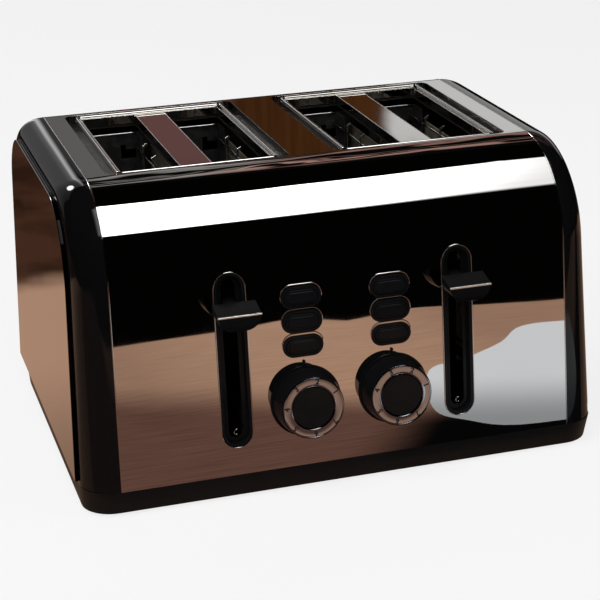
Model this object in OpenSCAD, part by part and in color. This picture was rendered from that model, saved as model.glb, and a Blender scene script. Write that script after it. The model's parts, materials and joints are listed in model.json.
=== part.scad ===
// Pop up toaster with four slots that run from front to back, in two pairs.
// Millimetres, +X to the right, -Y to the front, +Z up, standing on z = 0.

/* [Body] */
// Width of the metal wrap at its bottom edge
wrap_w = 282; // [276:1:300]
// Depth of the wrap at its bottom edge
body_d = 239; // [232:1:260]
// Height of the wrap from its bottom edge to its flat top
wrap_h = 172; // [168:1:185]
// Thickness of the wrap's sheet metal
sheet_t = 0.8; // [0.6:0.1:1.2]
// Lean of the front wall from the vertical, in degrees
lean = 5; // [3:0.5:6]
// Radius of the curve from the front wall to the top
front_r = 58; // [52:1:60]
// Radius of the curve from the top to the back wall
back_r = 26; // [16:1:30]
// Lean of the joint between wrap and end cap, in degrees
seam_lean = 0.7; // [0:0.1:1]

/* [End caps] */
// Width of an end cap from the wrap to its side at the bottom
cap_w = 22; // [18:1:26]
// Wall thickness of an end cap
cap_wall = 2.5; // [1.5:0.1:3.5]
// Gap between the wrap and an end cap
seam_gap = 0.6; // [0.3:0.1:1]
// Length of the cap's tongue that lies under the wrap
tongue_l = 8; // [4:1:12]
// How far the cap rounds back at the front
cap_front_in = 19.7; // [12:0.1:24]
// How far the cap rounds down at the top
cap_top_in = 10; // [6:0.5:14]
// How far the cap rounds in at the back
cap_back_in = 5; // [2:0.5:8]
// Lean of the cap's side from the vertical, in degrees
side_lean = 2; // [1:0.5:3]
// Height that a side panel stands off its end cap
panel_proud = 2.5; // [1.5:0.1:3.5]
// Width of the folded rim of a side panel
panel_rim = 1.2; // [0.8:0.1:2]
// Margin between a side panel and the cap's flat side
panel_margin = 0.6; // [0.2:0.1:1.5]
// Height of a side panel's bottom edge above the base
panel_lift = 1.5; // [0.5:0.1:4]

/* [Base] */
// Height that the feet stand out below the base
foot_h = 2; // [1:0.5:4]
// Radius of a foot
foot_r = 8; // [6:0.5:11]
// Height of the base
base_h = 15; // [14:0.5:18]
// How far the base tapers in at the front and back
base_taper = 3.8; // [2:0.1:5]
// How far the base tapers in at its sides
base_side_taper = 1; // [0.5:0.1:3]
// Radius of the base's upright corners
base_corner_r = 19; // [14:1:21]
// Wall thickness of the base at its top
base_wall = 6; // [5.5:0.5:8]
// Thickness of the base's floor
floor_t = 2.5; // [2:0.1:3]
// Height of the rails that carry the bulkheads, above the floor
rail_h = 10.5; // [10:0.1:11]
// Thickness of a rail
rail_t = 3; // [2:0.5:4]
// Radius of a screw boss
boss_r = 4.5; // [4:0.1:5]
// Radius of a base screw's shank
screw_r = 1.5; // [1.2:0.1:1.8]
// Radius of a base screw's head
screw_head_r = 3; // [2.5:0.1:3.2]

/* [Slots] */
// Width of a bread slot
slot_w = 35.8; // [32:0.1:38]
// Distance from the wrap's front bottom edge back to the slots
slot_setback = 73.4; // [72:0.1:76]
// Distance from the slots back to the wrap's rear bottom edge
slot_back = 32; // [30:0.1:36]
// Width of the bridge between the two slots of a pair
bridge_w = 20.2; // [16:0.1:24]
// Distance between the two middle slots
centre_gap = 48.4; // [44:0.1:52]
// Width of a slot frame's rim along its sides
rim_w = 3.8; // [2.5:0.1:4.5]
// Width of a slot frame's rim at its ends
rim_end = 2.8; // [2.2:0.1:3.2]
// Gap between a slot frame and the sides of its pocket
trench_w = 6.8; // [4:0.1:8]
// Gap between a slot frame and the ends of its pocket
trench_end = 2.6; // [1.5:0.1:3]
// Corner radius of a slot frame
frame_r = 4; // [2:0.5:6]
// Depth of a slot frame's top below the top of the wrap
frame_drop = 2; // [0.5:0.5:3]
// Depth of the pocket round a slot frame
pocket_depth = 9; // [7:0.5:11]
// Sheet thickness of the slot frames, the pans and the bulkheads
plate_t = 1; // [0.8:0.1:1.2]
// Depth of the turned-down edge of a slot
slot_skirt = 5; // [2:0.5:6]

/* [Chassis] */
// Gap between the slots' ends and the bulkheads
bulkhead_gap = 0.8; // [0.3:0.1:1.5]
// Depth of the bulkheads' top edge in the slots, below the top of the wrap
bulkhead_drop = 14; // [12:0.5:18]
// Margin between the bulkheads and the ends of the wrap
bulkhead_margin = 4.5; // [3:0.5:6]
// Width of the upright gaps in the bulkheads that the racks run in
arm_gap_w = 6; // [4:0.5:8]
// Width of the L-shaped window at the right end of each slot's wall
window_w = 10.5; // [8:0.5:12]
// Height of that window
window_h = 9.5; // [7:0.5:10]
// Distance from the bulkhead's top edge down to the window
window_drop = 8; // [6:0.5:9]
// Depth of the tabs that the rear bulkhead turns forward beside each slot
cheek_d = 16; // [10:0.5:20]
// Depth of the bulkheads' flanges and ledges
flange_d = 12; // [10:0.5:14]
// Thickness of a mica heater board
mica_t = 1.2; // [0.8:0.1:2]
// Gap between a slot's side and the heater board beside it
heater_gap = 4.2; // [3.5:0.1:5]
// Height of the heater boards' bottom edge
heater_z = 30; // [26:1:36]
// Depth of the heater boards' top edge below the slot pans
heater_drop = 14; // [12:0.5:20]
// Turns of ribbon on a heater board
heater_turns = 12; // [8:1:16]
// Radius of the guard wires and rack fingers
wire_r = 0.8; // [0.6:0.1:1]
// Upright wires in a bread guard
guard_wires = 4; // [3:1:8]
// Height that the guard wires stand above their top rail
guard_ends = 6; // [4:0.5:7]
// Distance from a slot's side to its guard wires
guard_in = 1.8; // [1.2:0.1:2.5]

/* [Lift] */
// Height of a lever's top face at rest
lever_z = 122.6; // [118:0.1:124]
// Travel of a lever down to its latch
lever_travel = 60; // [50:1:62]
// Extra travel up from rest
extra_lift = 10; // [6:1:10]
// Width of a lever's paddle
paddle_w = 26; // [22:1:30]
// Depth of a lever's paddle from front to back
paddle_d = 14; // [10:0.5:15]
// Height of a paddle's front face
paddle_h = 11.5; // [9:0.5:12.5]
// Distance a lever's front face stands out from the wall behind it
lever_out = 23; // [20:0.5:26]
// Width of the neck behind the paddle
neck_w = 7; // [5:0.5:8]
// Height of the neck behind the paddle
neck_h = 6.4; // [5.5:0.1:7]
// Thickness of the carriage's lever arm
arm_t = 2.5; // [2:0.1:3]
// Height of the carriage's lever arm
arm_h = 4; // [3:0.1:4.5]
// Radius of the guide rod
rod_r = 3; // [2.5:0.1:3.5]
// Running clearance of the bush on the guide rod
rod_clear = 0.05; // [0.03:0.01:0.1]
// Distance from the front bulkhead to the guide rod's axis
rod_setback = 22; // [20:0.5:24]
// Length of the carriage's bush
bush_l = 24; // [20:1:26]
// Wall thickness of the bush
bush_wall = 3; // [2.5:0.1:4]
// Height of a bread rack's bar
rack_h = 8; // [6:0.5:10]
// Thickness of a bread rack's bar
rack_t = 1.6; // [1.2:0.1:2]
// Length of a bread rack's fingers
finger_l = 24; // [18:1:26]
// Fingers on a bread rack
finger_count = 7; // [5:1:9]
// Turns of a lift spring
spring_turns = 10; // [8:1:11]

/* [Front controls] */
// Width of a lever's track
track_w = 19; // [17:0.5:21]
// Height of the track's bottom end
track_z0 = 34; // [32:0.5:36]
// Height of the track's top end
track_z1 = 140.6; // [139:0.1:141]
// Depth of the track's recess
track_depth = 5; // [4:0.5:6]
// Gap between a lever's neck and each side of the slit in the recess
slit_gap = 0.8; // [0.5:0.1:1.5]
// Distance of the dials and buttons from the middle
control_x = 27.4; // [26:0.1:30]
// Depth of the dials' centres below the top of the wrap
dial_drop = 131.7; // [129:0.1:134]
// Radius of a dial's bezel
bezel_r = 21.8; // [20:0.1:22.4]
// Radius of a dial's face
dial_face_r = 19; // [17:0.1:19.4]
// Height of a dial's face above the wall
dial_h = 16; // [13:0.5:18]
// Radius of the raised middle of a dial
dial_middle_r = 13.1; // [11:0.1:14.5]
// Radius of a dial's shaft
shaft_r = 3; // [2.5:0.1:3.5]
// Depth of the lowest button's centre below the top of the wrap
button_drop = 98; // [96:0.1:99]
// Distance between the buttons' centres
button_pitch = 14.8; // [14.4:0.1:15.2]
// Width of a button's hole in the wall
button_hole_w = 25; // [23:0.1:27]
// Height of a button's hole in the wall
button_hole_h = 13.4; // [12.6:0.1:13.8]
// Width of the collar round a button
collar_w = 1.8; // [1.4:0.1:2.2]
// Gap between a button and its collar
button_clear = 0.3; // [0.2:0.05:0.5]
// Height of a button's cap above the wall
button_proud = 1.2; // [0.6:0.1:2]
// Travel of a button
button_travel = 2.5; // [1.5:0.1:3]
// Distance from the wall's face back to the control board
board_depth = 26; // [24:0.5:30]

/* [Crumb trays and cord] */
// Width of a crumb tray
tray_w = 110; // [104:1:112]
// Height of a crumb tray's sides
tray_h = 7; // [5:0.5:8]
// Length of the grip behind the body
grip_d = 6; // [5:0.5:9]
// Distance of the cord inlet from the middle
inlet_x = -100; // [-115:1:-90]
// Height of the cord inlet
inlet_z = 34; // [32:1:40]
// Radius of the cord inlet's bore
inlet_r = 3.6; // [3:0.1:4.5]

/* [Hidden] */

$fn = 48;
left = -1;
right = 1;
fit = 0.1; // clearance of fixed pieces that fit into each other
overlap = 0.01; // how far a round corner stands proud of the flats that it joins

// Small sizes that several pieces share
tray_gap = 0.6;
cheek_gap = 0.6;
cheek_h = 40;
foot_seat = 1;
foot_in = 29;
sheet_margin = 5;
screw_head_h = 1.4;
screw_l = 14;
boss_h = 30;
corner_change = 6;
inlet_wall = 3.4;
collar_h = 0.8;

// Heights
wrap_z = foot_h + base_h;
top_z = wrap_z + wrap_h;
floor_z = foot_h + floor_t;
rail_z = floor_z + rail_h;
frame_z = top_z - frame_drop;
pan_z = top_z - pocket_depth;
bulkhead_z = top_z - bulkhead_drop;
heater_h = pan_z - heater_drop - heater_z;
dial_z = top_z - dial_drop;
button_z = top_z - button_drop;

// Widths, from the middle of the body
wrap_hw = wrap_w / 2;
cap_x = wrap_hw + seam_gap;
side_x = wrap_hw + cap_w;
slot_x = [centre_gap / 2, centre_gap / 2 + slot_w + bridge_w];
pair_x = centre_gap / 2 + slot_w + bridge_w / 2;
pair_hw = slot_w + bridge_w / 2;
bulkhead_hw = wrap_hw - bulkhead_margin;
rail_off = tray_w / 2 + tray_gap + rail_t / 2;

// Depths, measured back from the wrap's front bottom edge
slot_end = body_d - slot_back;
slot_len = slot_end - slot_setback;
front_plate_y = slot_setback - bulkhead_gap - plate_t;
rear_plate_y = slot_end + bulkhead_gap;
pocket_end = rim_end + trench_end;
sheet_joint_y = [slot_setback - pocket_end - sheet_margin, slot_end + pocket_end + sheet_margin];
rod_y = front_plate_y - rod_setback;
lever_front_y = wall_y(lever_z) - lever_out;
boss_y = [2 * base_corner_r, body_d - 2 * base_corner_r];

// The origin lies in the middle of the whole depth, from the levers to the grips
front_y = -(lever_front_y + body_d + grip_d) / 2;

// Places
boss_x = side_x - base_wall - boss_r - 1;
foot_x = side_x - foot_in;
foot_y = [foot_in, body_d - foot_in];
guard_low_z = heater_z + 2;
guard_high_z = bulkhead_z - 1 - guard_ends;

// Lift
bush_top = lever_z - 0.6;
bush_bottom = bush_top - bush_l;
rack_top = bush_bottom + 10;
arm_z = lever_z - 1.4 - arm_h;
arm_front_y = wall_y(lever_z) + 2;
neck_back_y = arm_front_y + 12;
cross_h = 14;
cross_t = 1.5;
cross_y = rod_y + rod_r + bush_wall + 4;
tab_t = 1.6;
tab_w = 14;
tab_low_z = rail_z + 7;
tab_high_z = top_z - 19;
keeper_x = pair_x - 20;
keeper_w = 16;
keeper_d = 11;
keeper_t = 2;
latch_gap = 0.3;
spring_z = tab_low_z + tab_t;
spring_wire_r = 0.6;
spring_r = rod_r + spring_wire_r + 1;

// Controls, in the leaning frame of the front wall
slit_w = neck_w + 2 * slit_gap;
bushing_r = shaft_r + 1.5;
shaft_clear = 0.05;
pot_r = 9;
pot_depth = 8;
bezel_t = 1.2;
dial_foot = bezel_t + 0.3;
dial_foot_r = dial_face_r + 1.6;
ring_t = 1.2;
guide_t = 1.6;
board_t = 1.6;
board_hw = 20;
switch_h = 5;
button_w = button_hole_w - 2 * (fit + collar_w + button_clear);
button_h = button_hole_h - 2 * (fit + collar_w + button_clear);
guide_back = -sheet_t - guide_t;
board_back = -board_depth - board_t;

function wall_y(z) = (z - wrap_z) * tan(lean);

function about(middle, half) = [middle - half, middle + half];

function span(start, length) = [min(start, start + length), max(start, start + length)];

// Distance up the leaning wall from the dial's centre to a height
function up_wall(z) = (z - dial_z) / cos(lean);

module in_place() translate([0, front_y, 0]) children();

module on_side(side) {
    if (side < 0) mirror([1, 0, 0]) children();
    else children();
}

// The front wall's frame at a height: x to the right, y up the wall, z out of the wall
module on_wall(side, x, z) {
    translate([side * x, wall_y(z), z]) rotate([90 - lean, 0, 0]) children();
}

module along_x(x0, x1) translate([x0, 0, 0]) rotate([90, 0, 90]) linear_extrude(x1 - x0) children();

module along_y(y0, y1) translate([0, y1, 0]) rotate([90, 0, 0]) linear_extrude(y1 - y0) children();

module along_z(z0, z1) translate([0, 0, z0]) linear_extrude(z1 - z0) children();

module box(x, y, z) translate([x[0], y[0], z[0]]) cube([x[1] - x[0], y[1] - y[0], z[1] - z[0]]);

module round_rect(x, y, w, h, r) {
    translate([x + r, y]) square([w - 2 * r, h]);
    translate([x, y + r]) square([w, h - 2 * r]);
    for (cx = [x + r, x + w - r], cy = [y + r, y + h - r]) translate([cx, cy]) circle(r = r);
}

module stadium(w, h) {
    r = min(w, h) / 2;
    square([w > h ? w - 2 * r : w, w > h ? h : h - 2 * r], center = true);
    for (s = [-1, 1]) translate(w > h ? [s * (w / 2 - r), 0] : [0, s * (h / 2 - r)]) circle(r = r);
}

// Outline of the body seen from its side: a leaning front, two round corners and an upright back
module side_outline(y0, y1, zt, rf, rb, z_low) {
    cz = zt - rf;
    cy = y0 + wall_y(cz) + rf / cos(lean);
    polygon([
        [y0 + wall_y(z_low), z_low],
        [y1, z_low],
        [y1, zt - rb],
        [y1 - rb, zt],
        [cy, zt],
        [cy - rf * cos(lean), cz + rf * sin(lean)]
    ]);
    translate([cy, cz]) circle(r = rf + overlap);
    translate([y1 - rb, zt - rb]) circle(r = rb + overlap);
}

module body_outline(inset, z_low) {
    side_outline(inset / cos(lean), body_d - inset, top_z - inset, front_r - inset, back_r - inset, z_low);
}

// Everything between the leaning joint planes at both ends of the wrap
module between_seams() {
    low = wrap_hw + wrap_z * tan(seam_lean);
    high = wrap_hw - wrap_h * tan(seam_lean);
    along_y(-1, body_d + 1) polygon([[-low, 0], [low, 0], [high, top_z], [-high, top_z]]);
}

module pocket_outline(extra) {
    side_gap = rim_w + trench_w + extra;
    end_gap = rim_end + trench_end + extra;
    round_rect(
        slot_x[0] - side_gap,
        slot_setback - end_gap,
        2 * (pair_hw + side_gap),
        slot_len + 2 * end_gap,
        frame_r + 2 + extra
    );
}

module slot_outlines(extra) {
    for (x = slot_x) {
        round_rect(x - extra, slot_setback - extra, slot_w + 2 * extra, slot_len + 2 * extra, 2 + extra);
    }
}

module track_outline(extra) {
    length = (track_z1 - track_z0) / cos(lean);
    stadium(track_w + 2 * extra, length + 2 * extra);
}

module on_track(side) on_wall(side, pair_x, (track_z0 + track_z1) / 2) children();

module on_button(side, i) on_wall(side, control_x, button_z + i * button_pitch) children();

module on_dial(side) on_wall(side, control_x, dial_z) children();

// The wrap's sheet over the front, the top and the back, with a sunk pocket for each pair of slots
module wrap_sheet() {
    ledge = 3;
    difference() {
        intersection() {
            union() {
                difference() {
                    along_x(-wrap_hw, wrap_hw) body_outline(0, wrap_z);
                    along_x(-side_x, side_x) body_outline(sheet_t, wrap_z - 1);
                }
                for (s = [left, right]) on_side(s)
                    along_z(pan_z - sheet_t, top_z - sheet_t / 2) pocket_outline(sheet_t);
            }
            between_seams();
        }
        for (s = [left, right]) {
            on_side(s) along_z(pan_z, top_z + 1) pocket_outline(0);
            on_side(s) along_z(pan_z - 2 * sheet_t, top_z) pocket_outline(-ledge);
            on_track(s) along_z(-10, 10) track_outline(0);
            on_dial(s) cylinder(r = bushing_r + fit, h = 10, center = true);
            for (i = [0:2]) on_button(s, i) along_z(-10, 10) stadium(button_hole_w, button_hole_h);
        }
        translate([inlet_x, body_d + 5, inlet_z]) rotate([90, 0, 0])
            cylinder(r = inlet_r + inlet_wall + fit, h = 15);
    }
}

// The sheet comes in three parts that meet edge to edge in front of the pockets and behind them
module wrap_part(y) {
    color("dimgray") in_place() intersection() {
        wrap_sheet();
        box([-side_x, side_x], y, [0, top_z + 1]);
    }
}

// A thin upright slice of an end cap, at 0 degrees by the joint and 90 degrees at the flat side
module cap_slice(a, inset) {
    back_off = 1 - cos(a);
    thickness = inset > 0 ? 1 : 0.01;
    translate([cap_x + (side_x - inset - cap_x) * sin(a), 0, wrap_z])
        rotate([0, -seam_lean - (side_lean - seam_lean) * sin(a), 0])
            translate([0, 0, -wrap_z]) along_x(-thickness, 0) side_outline(
                back_off * cap_front_in + inset / cos(lean),
                body_d - back_off * cap_back_in - inset,
                top_z - back_off * cap_top_in - inset,
                front_r - back_off * corner_change - inset,
                back_r + back_off * corner_change - inset,
                inset > 0 ? wrap_z - 1 : wrap_z
            );
}

module cap_form(inset) {
    hull() for (a = [0:15:90]) cap_slice(a, inset, $fn = 32);
}

module end_cap(side) {
    color("#101010") in_place() on_side(side) {
        difference() {
            cap_form(0);
            cap_form(cap_wall);
        }
        difference() {
            along_x(wrap_hw - tongue_l, cap_x + 1) body_outline(sheet_t + fit, wrap_z);
            along_x(0, side_x) body_outline(cap_wall, wrap_z - 1);
        }
        for (y = boss_y) difference() {
            union() {
                translate([boss_x, y, floor_z]) cylinder(r = boss_r, h = boss_h);
                box([boss_x, side_x - cap_wall / 2], [y - 1, y + 1], [wrap_z, floor_z + boss_h]);
            }
            translate([boss_x, y, floor_z - 1]) cylinder(r = screw_r, h = screw_l);
        }
    }
}

module panel_outline(inset) {
    m = panel_margin + inset;
    side_outline(
        cap_front_in + m / cos(lean),
        body_d - cap_back_in - m,
        top_z - cap_top_in - m,
        front_r - corner_change - m,
        back_r + corner_change - m,
        wrap_z + panel_lift + inset
    );
}

// A leaning slab between two distances out from the end cap's flat side
module side_slab(near, far) {
    drop = wrap_h * tan(side_lean);
    along_y(-1, body_d + 1) polygon([
        [side_x + near, wrap_z],
        [side_x + far, wrap_z],
        [side_x + far - drop, top_z],
        [side_x + near - drop, top_z]
    ]);
}

module side_panel(side) {
    color("silver") in_place() on_side(side) difference() {
        intersection() {
            along_x(wrap_hw, side_x + 2 * panel_proud) panel_outline(0);
            side_slab(0, panel_proud);
        }
        intersection() {
            along_x(wrap_hw, side_x + 2 * panel_proud) panel_outline(panel_rim);
            side_slab(-1, panel_proud - panel_rim);
        }
    }
}

module base_outline(taper_x, taper_y) {
    round_rect(
        taper_x - side_x,
        taper_y,
        2 * (side_x - taper_x),
        body_d - 2 * taper_y,
        base_corner_r
    );
}

module base() {
    sliver = 0.01;
    vent_y = [2 * base_wall + foot_r, front_plate_y - 18];
    color("#1a1a1a") in_place() difference() {
        union() {
            difference() {
                hull() {
                    along_z(foot_h, foot_h + sliver) base_outline(base_side_taper, base_taper);
                    along_z(wrap_z - sliver, wrap_z) base_outline(0, 0);
                }
                along_z(floor_z, wrap_z + 1) base_outline(base_wall, base_wall);
            }
            for (s = [left, right], off = [-rail_off, rail_off]) on_side(s)
                box(
                    about(pair_x + off, rail_t / 2),
                    [base_wall - 1, body_d - base_wall + 1],
                    [foot_h + 1, rail_z]
                );
        }
        for (s = [left, right]) on_side(s) {
            box(
                about(pair_x, tray_w / 2 + tray_gap),
                [body_d - base_wall - 1, body_d + 1],
                [floor_z, floor_z + tray_h + 2 * tray_gap]
            );
            for (y = foot_y) translate([foot_x, y, 0]) cylinder(r = foot_r, h = foot_h + foot_seat);
            for (y = boss_y) translate([boss_x, y, 0]) {
                cylinder(r = screw_head_r + 2 * fit, h = foot_h + screw_head_h);
                cylinder(r = screw_r + 2 * fit, h = floor_z + 1);
            }
            for (x = [pair_x - 40:10:pair_x + 40])
                box(about(x, 2), vent_y, [foot_h - 1, floor_z + 1]);
        }
    }
}

module feet() {
    color("#181818") in_place() for (s = [left, right], y = foot_y) on_side(s)
        translate([foot_x, y, 0]) cylinder(r = foot_r, h = foot_h + foot_seat);
}

module base_screws() {
    color("silver") in_place() for (s = [left, right], y = boss_y) on_side(s)
        translate([boss_x, y, foot_h + fit]) {
            cylinder(r = screw_head_r, h = screw_head_h - fit);
            cylinder(r = screw_r, h = screw_l - fit);
        }
}

module slot_pan(side) {
    color("#262626") in_place() on_side(side) along_z(pan_z, pan_z + plate_t) difference() {
        pocket_outline(-fit);
        slot_outlines(0);
    }
}

module frame_outline(extra) {
    round_rect(
        slot_x[0] - rim_w - extra,
        slot_setback - rim_end - extra,
        2 * (pair_hw + rim_w + extra),
        slot_len + 2 * (rim_end + extra),
        frame_r + extra
    );
}

module slot_frame(side) {
    color("lightgray") in_place() on_side(side) difference() {
        union() {
            difference() {
                along_z(pan_z + plate_t, frame_z) frame_outline(0);
                along_z(pan_z, frame_z - plate_t) frame_outline(-plate_t);
            }
            along_z(frame_z - slot_skirt, frame_z - plate_t / 2) slot_outlines(plate_t);
        }
        along_z(pan_z, frame_z + 1) slot_outlines(0);
    }
}

// Middle of each heater board: inside the pair, under its bridge and outside it
function heater_x(k) = [
    slot_x[0] - heater_gap - mica_t / 2,
    pair_x,
    slot_x[1] + slot_w + heater_gap + mica_t / 2
][k];

module heater_tabs(k, extra) {
    tab_h = 8;
    reach = 2.5;
    for (z = [heater_z + 15, heater_z + heater_h - 15 - tab_h])
        box(
            about(heater_x(k), mica_t / 2 + extra),
            [front_plate_y - reach, rear_plate_y + plate_t + reach],
            [z - extra, z + tab_h + extra]
        );
}

module heater(side, k) {
    ribbon_t = 0.3;
    ribbon_h = 1.6;
    ribbon_in = 5;
    pitch = (heater_h - 20) / (heater_turns - 1);
    color("burlywood") in_place() on_side(side) {
        box(
            about(heater_x(k), mica_t / 2),
            [front_plate_y + plate_t + fit, rear_plate_y - fit],
            [heater_z, heater_z + heater_h]
        );
        heater_tabs(k, 0);
        for (i = [0:heater_turns - 1])
            box(
                about(heater_x(k), mica_t / 2 + ribbon_t),
                [front_plate_y + ribbon_in, rear_plate_y - ribbon_in],
                about(heater_z + 10 + i * pitch, ribbon_h / 2)
            );
    }
}

// The long rails of the bread guards, four to a pair of slots
module guard_rails(r) {
    for (x = slot_x, dx = [guard_in, slot_w - guard_in], z = [guard_low_z, guard_high_z])
        translate([x + dx, rear_plate_y + plate_t + 2, z]) rotate([90, 0, 0])
            cylinder(r = r, h = rear_plate_y - front_plate_y + plate_t + 4);
}

// Two rails a side, with upright wires whose ends bend outwards
module bread_guards(side) {
    front_margin = 18;
    rear_margin = cheek_d + 13;
    pitch = (slot_len - front_margin - rear_margin) / (guard_wires - 1);
    r = wire_r * 0.9;
    bend_l = 3;
    bend_z = guard_high_z + guard_ends - bend_l / 2;
    color("silver") in_place() on_side(side) {
        guard_rails(wire_r);
        for (x = slot_x, out = [-1, 1], i = [0:guard_wires - 1]) translate([
            x + slot_w / 2 + out * (slot_w / 2 - guard_in),
            slot_setback + front_margin + i * pitch,
            bend_z
        ]) {
            translate([0, 0, guard_low_z - bend_z]) cylinder(r = r, h = bend_z - guard_low_z);
            sphere(r = r + overlap, $fn = 12);
            rotate([0, out * 60, 0]) cylinder(r = r, h = bend_l);
        }
    }
}

// Openings of a bulkhead: rack gaps, windows, heater slits and guard holes
module bulkhead_openings(side, y) {
    for (x = slot_x) {
        middle = x + slot_w / 2;
        box(
            about(middle, arm_gap_w / 2),
            [y - 1, y + plate_t + 1],
            [rack_top - rack_h - lever_travel - 2, rack_top + extra_lift + 4]
        );
        right_end = side < 0 ? x : x + slot_w;
        window_top = bulkhead_z - window_drop;
        window_low = window_top - window_h;
        box(
            span(right_end, -side * window_w),
            [y - 1, y + plate_t + 1],
            [window_low, window_top - window_h / 3]
        );
        box(
            span(right_end - side * window_w, side * window_w / 3),
            [y - 1, y + plate_t + 1],
            [window_low, window_top]
        );
    }
    for (k = [0:2]) heater_tabs(k, fit);
    guard_rails(wire_r + fit);
}

// An upright plate with a foot on the rails and a turned flange at each end
module bulkhead_plate(y, away) {
    flange_y = away < 0 ? [y - flange_d, y + plate_t] : [y, y + plate_t + flange_d];
    box([-bulkhead_hw, bulkhead_hw], [y, y + plate_t], [rail_z, bulkhead_z]);
    box([-bulkhead_hw, bulkhead_hw], flange_y, [rail_z, rail_z + plate_t]);
    for (s = [left, right]) on_side(s)
        box([bulkhead_hw - plate_t, bulkhead_hw], flange_y, [rail_z, bulkhead_z - flange_d]);
}

module front_bulkhead() {
    color("darkgray") in_place() difference() {
        union() {
            bulkhead_plate(front_plate_y, -1);
            for (s = [left, right]) on_side(s) {
                for (z = [tab_low_z, tab_high_z])
                    box(
                        about(pair_x, tab_w / 2),
                        [rod_y - tab_w / 2, front_plate_y + plate_t],
                        [z, z + tab_t]
                    );
                box(
                    about(keeper_x, keeper_w / 2 + 1),
                    [cross_y - keeper_d - 1, front_plate_y],
                    [rail_z, rail_z + tab_t]
                );
            }
        }
        for (s = [left, right]) on_side(s) {
            bulkhead_openings(s, front_plate_y);
            translate([pair_x, rod_y, 0]) cylinder(r = rod_r, h = top_z);
        }
    }
}

module rear_bulkhead() {
    color("darkgray") in_place() difference() {
        union() {
            bulkhead_plate(rear_plate_y, 1);
            for (s = [left, right], x = slot_x, side_of_slot = [x - cheek_gap - plate_t, x + slot_w + cheek_gap])
                on_side(s) box(
                    span(side_of_slot, plate_t),
                    [rear_plate_y - cheek_d, rear_plate_y + plate_t],
                    [bulkhead_z - cheek_h, bulkhead_z]
                );
        }
        for (s = [left, right]) on_side(s) bulkhead_openings(s, rear_plate_y);
    }
}

module guide_rod(side) {
    color("silver") in_place() on_side(side) translate([pair_x, rod_y, tab_low_z - 2])
        cylinder(r = rod_r, h = tab_high_z + tab_t + 2 - (tab_low_z - 2));
}

module lift_spring(side) {
    length = bush_bottom - spring_z;
    half_angle = 180 * 2 * spring_wire_r * spring_turns / length;
    wire = [for (a = [0:36:324]) let (t = half_angle * cos(a), r = spring_r + spring_wire_r * sin(a))
        [r * cos(t), r * sin(t)]];
    color("silver") in_place() on_side(side) translate([pair_x, rod_y, spring_z])
        linear_extrude(length, twist = -360 * spring_turns, slices = 16 * spring_turns, $fn = 10)
            polygon(wire);
}

module carriage(side) {
    bush_r = rod_r + bush_wall;
    finger_pitch = (slot_len - 20) / (finger_count - 1);
    color("gray") in_place() on_side(side) difference() {
        union() {
            translate([pair_x, rod_y, bush_bottom]) cylinder(r = bush_r, h = bush_l);
            box(about(pair_x, arm_t / 2), [arm_front_y, rod_y], [arm_z, arm_z + arm_h]);
            box(about(pair_x, 3), [rod_y, cross_y + cross_t], [bush_bottom, bush_bottom + cross_h]);
            box(
                [slot_x[0] + slot_w / 2 - 4, slot_x[1] + slot_w / 2 + 4],
                [cross_y, cross_y + cross_t],
                [bush_bottom, bush_bottom + cross_h]
            );
            box(
                about(keeper_x, keeper_w / 2),
                [cross_y - keeper_d, cross_y + cross_t],
                [bush_bottom, bush_bottom + keeper_t]
            );
            for (x = slot_x) {
                middle = x + slot_w / 2;
                box(
                    about(middle, rack_t / 2),
                    [cross_y, rear_plate_y + plate_t + 3],
                    [rack_top - rack_h, rack_top]
                );
                for (i = [0:finger_count - 1])
                    translate([middle - finger_l / 2, slot_setback + 10 + i * finger_pitch, rack_top])
                        rotate([0, 90, 0]) cylinder(r = wire_r, h = finger_l);
            }
        }
        translate([pair_x, rod_y, 0]) cylinder(r = rod_r + rod_clear, h = top_z);
    }
}

module lever(side) {
    nose_r = paddle_h / 2 + 0.5;
    rise = 3.4;
    lip = 2;
    belly_hw = paddle_w / 2 - 0.4;
    belly_d = paddle_h - lip;
    belly_r = (belly_hw * belly_hw + belly_d * belly_d) / (2 * belly_d);
    y0 = lever_front_y;
    y1 = y0 + paddle_d;
    color("#0c0c0c") in_place() on_side(side) difference() {
        union() {
            intersection() {
                along_x(pair_x - paddle_w / 2, pair_x + paddle_w / 2) {
                    polygon([
                        [y0, lever_z],
                        [y0, lever_z - paddle_h + nose_r],
                        [y0 + nose_r, lever_z - paddle_h],
                        [y1, lever_z - paddle_h + rise],
                        [y1, lever_z + rise]
                    ]);
                    translate([y0 + nose_r, lever_z - paddle_h + nose_r]) circle(r = nose_r);
                }
                union() {
                    along_y(y0 - 1, y1 + 1)
                        translate([pair_x, lever_z - paddle_h + belly_r]) circle(r = belly_r);
                    box(about(pair_x, paddle_w), [y0 - 1, y1 + 1], [lever_z - lip, lever_z + paddle_h]);
                }
            }
            box(
                about(pair_x, neck_w / 2),
                [y1 - 1, neck_back_y],
                about(arm_z + arm_h / 2, neck_h / 2)
            );
        }
        box(
            about(pair_x, arm_t / 2 + fit),
            [arm_front_y - fit, neck_back_y + 1],
            [arm_z - fit, arm_z + arm_h + fit]
        );
    }
}

module track_insert(side) {
    liner = 2;
    floor_d = 1.5;
    flange = 4;
    color("#080808") in_place() difference() {
        union() {
            on_track(side) along_z(-track_depth, -fit) track_outline(-fit);
            intersection() {
                on_track(side) along_z(guide_back, 0) track_outline(flange);
                along_x(-side_x, side_x) body_outline(sheet_t + fit / 2, wrap_z);
            }
        }
        on_track(side) along_z(floor_d - track_depth, 1) track_outline(-fit - liner);
        on_track(side) along_z(-track_depth - 1, 1) track_outline(-(track_w - slit_w) / 2);
    }
}

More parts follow.
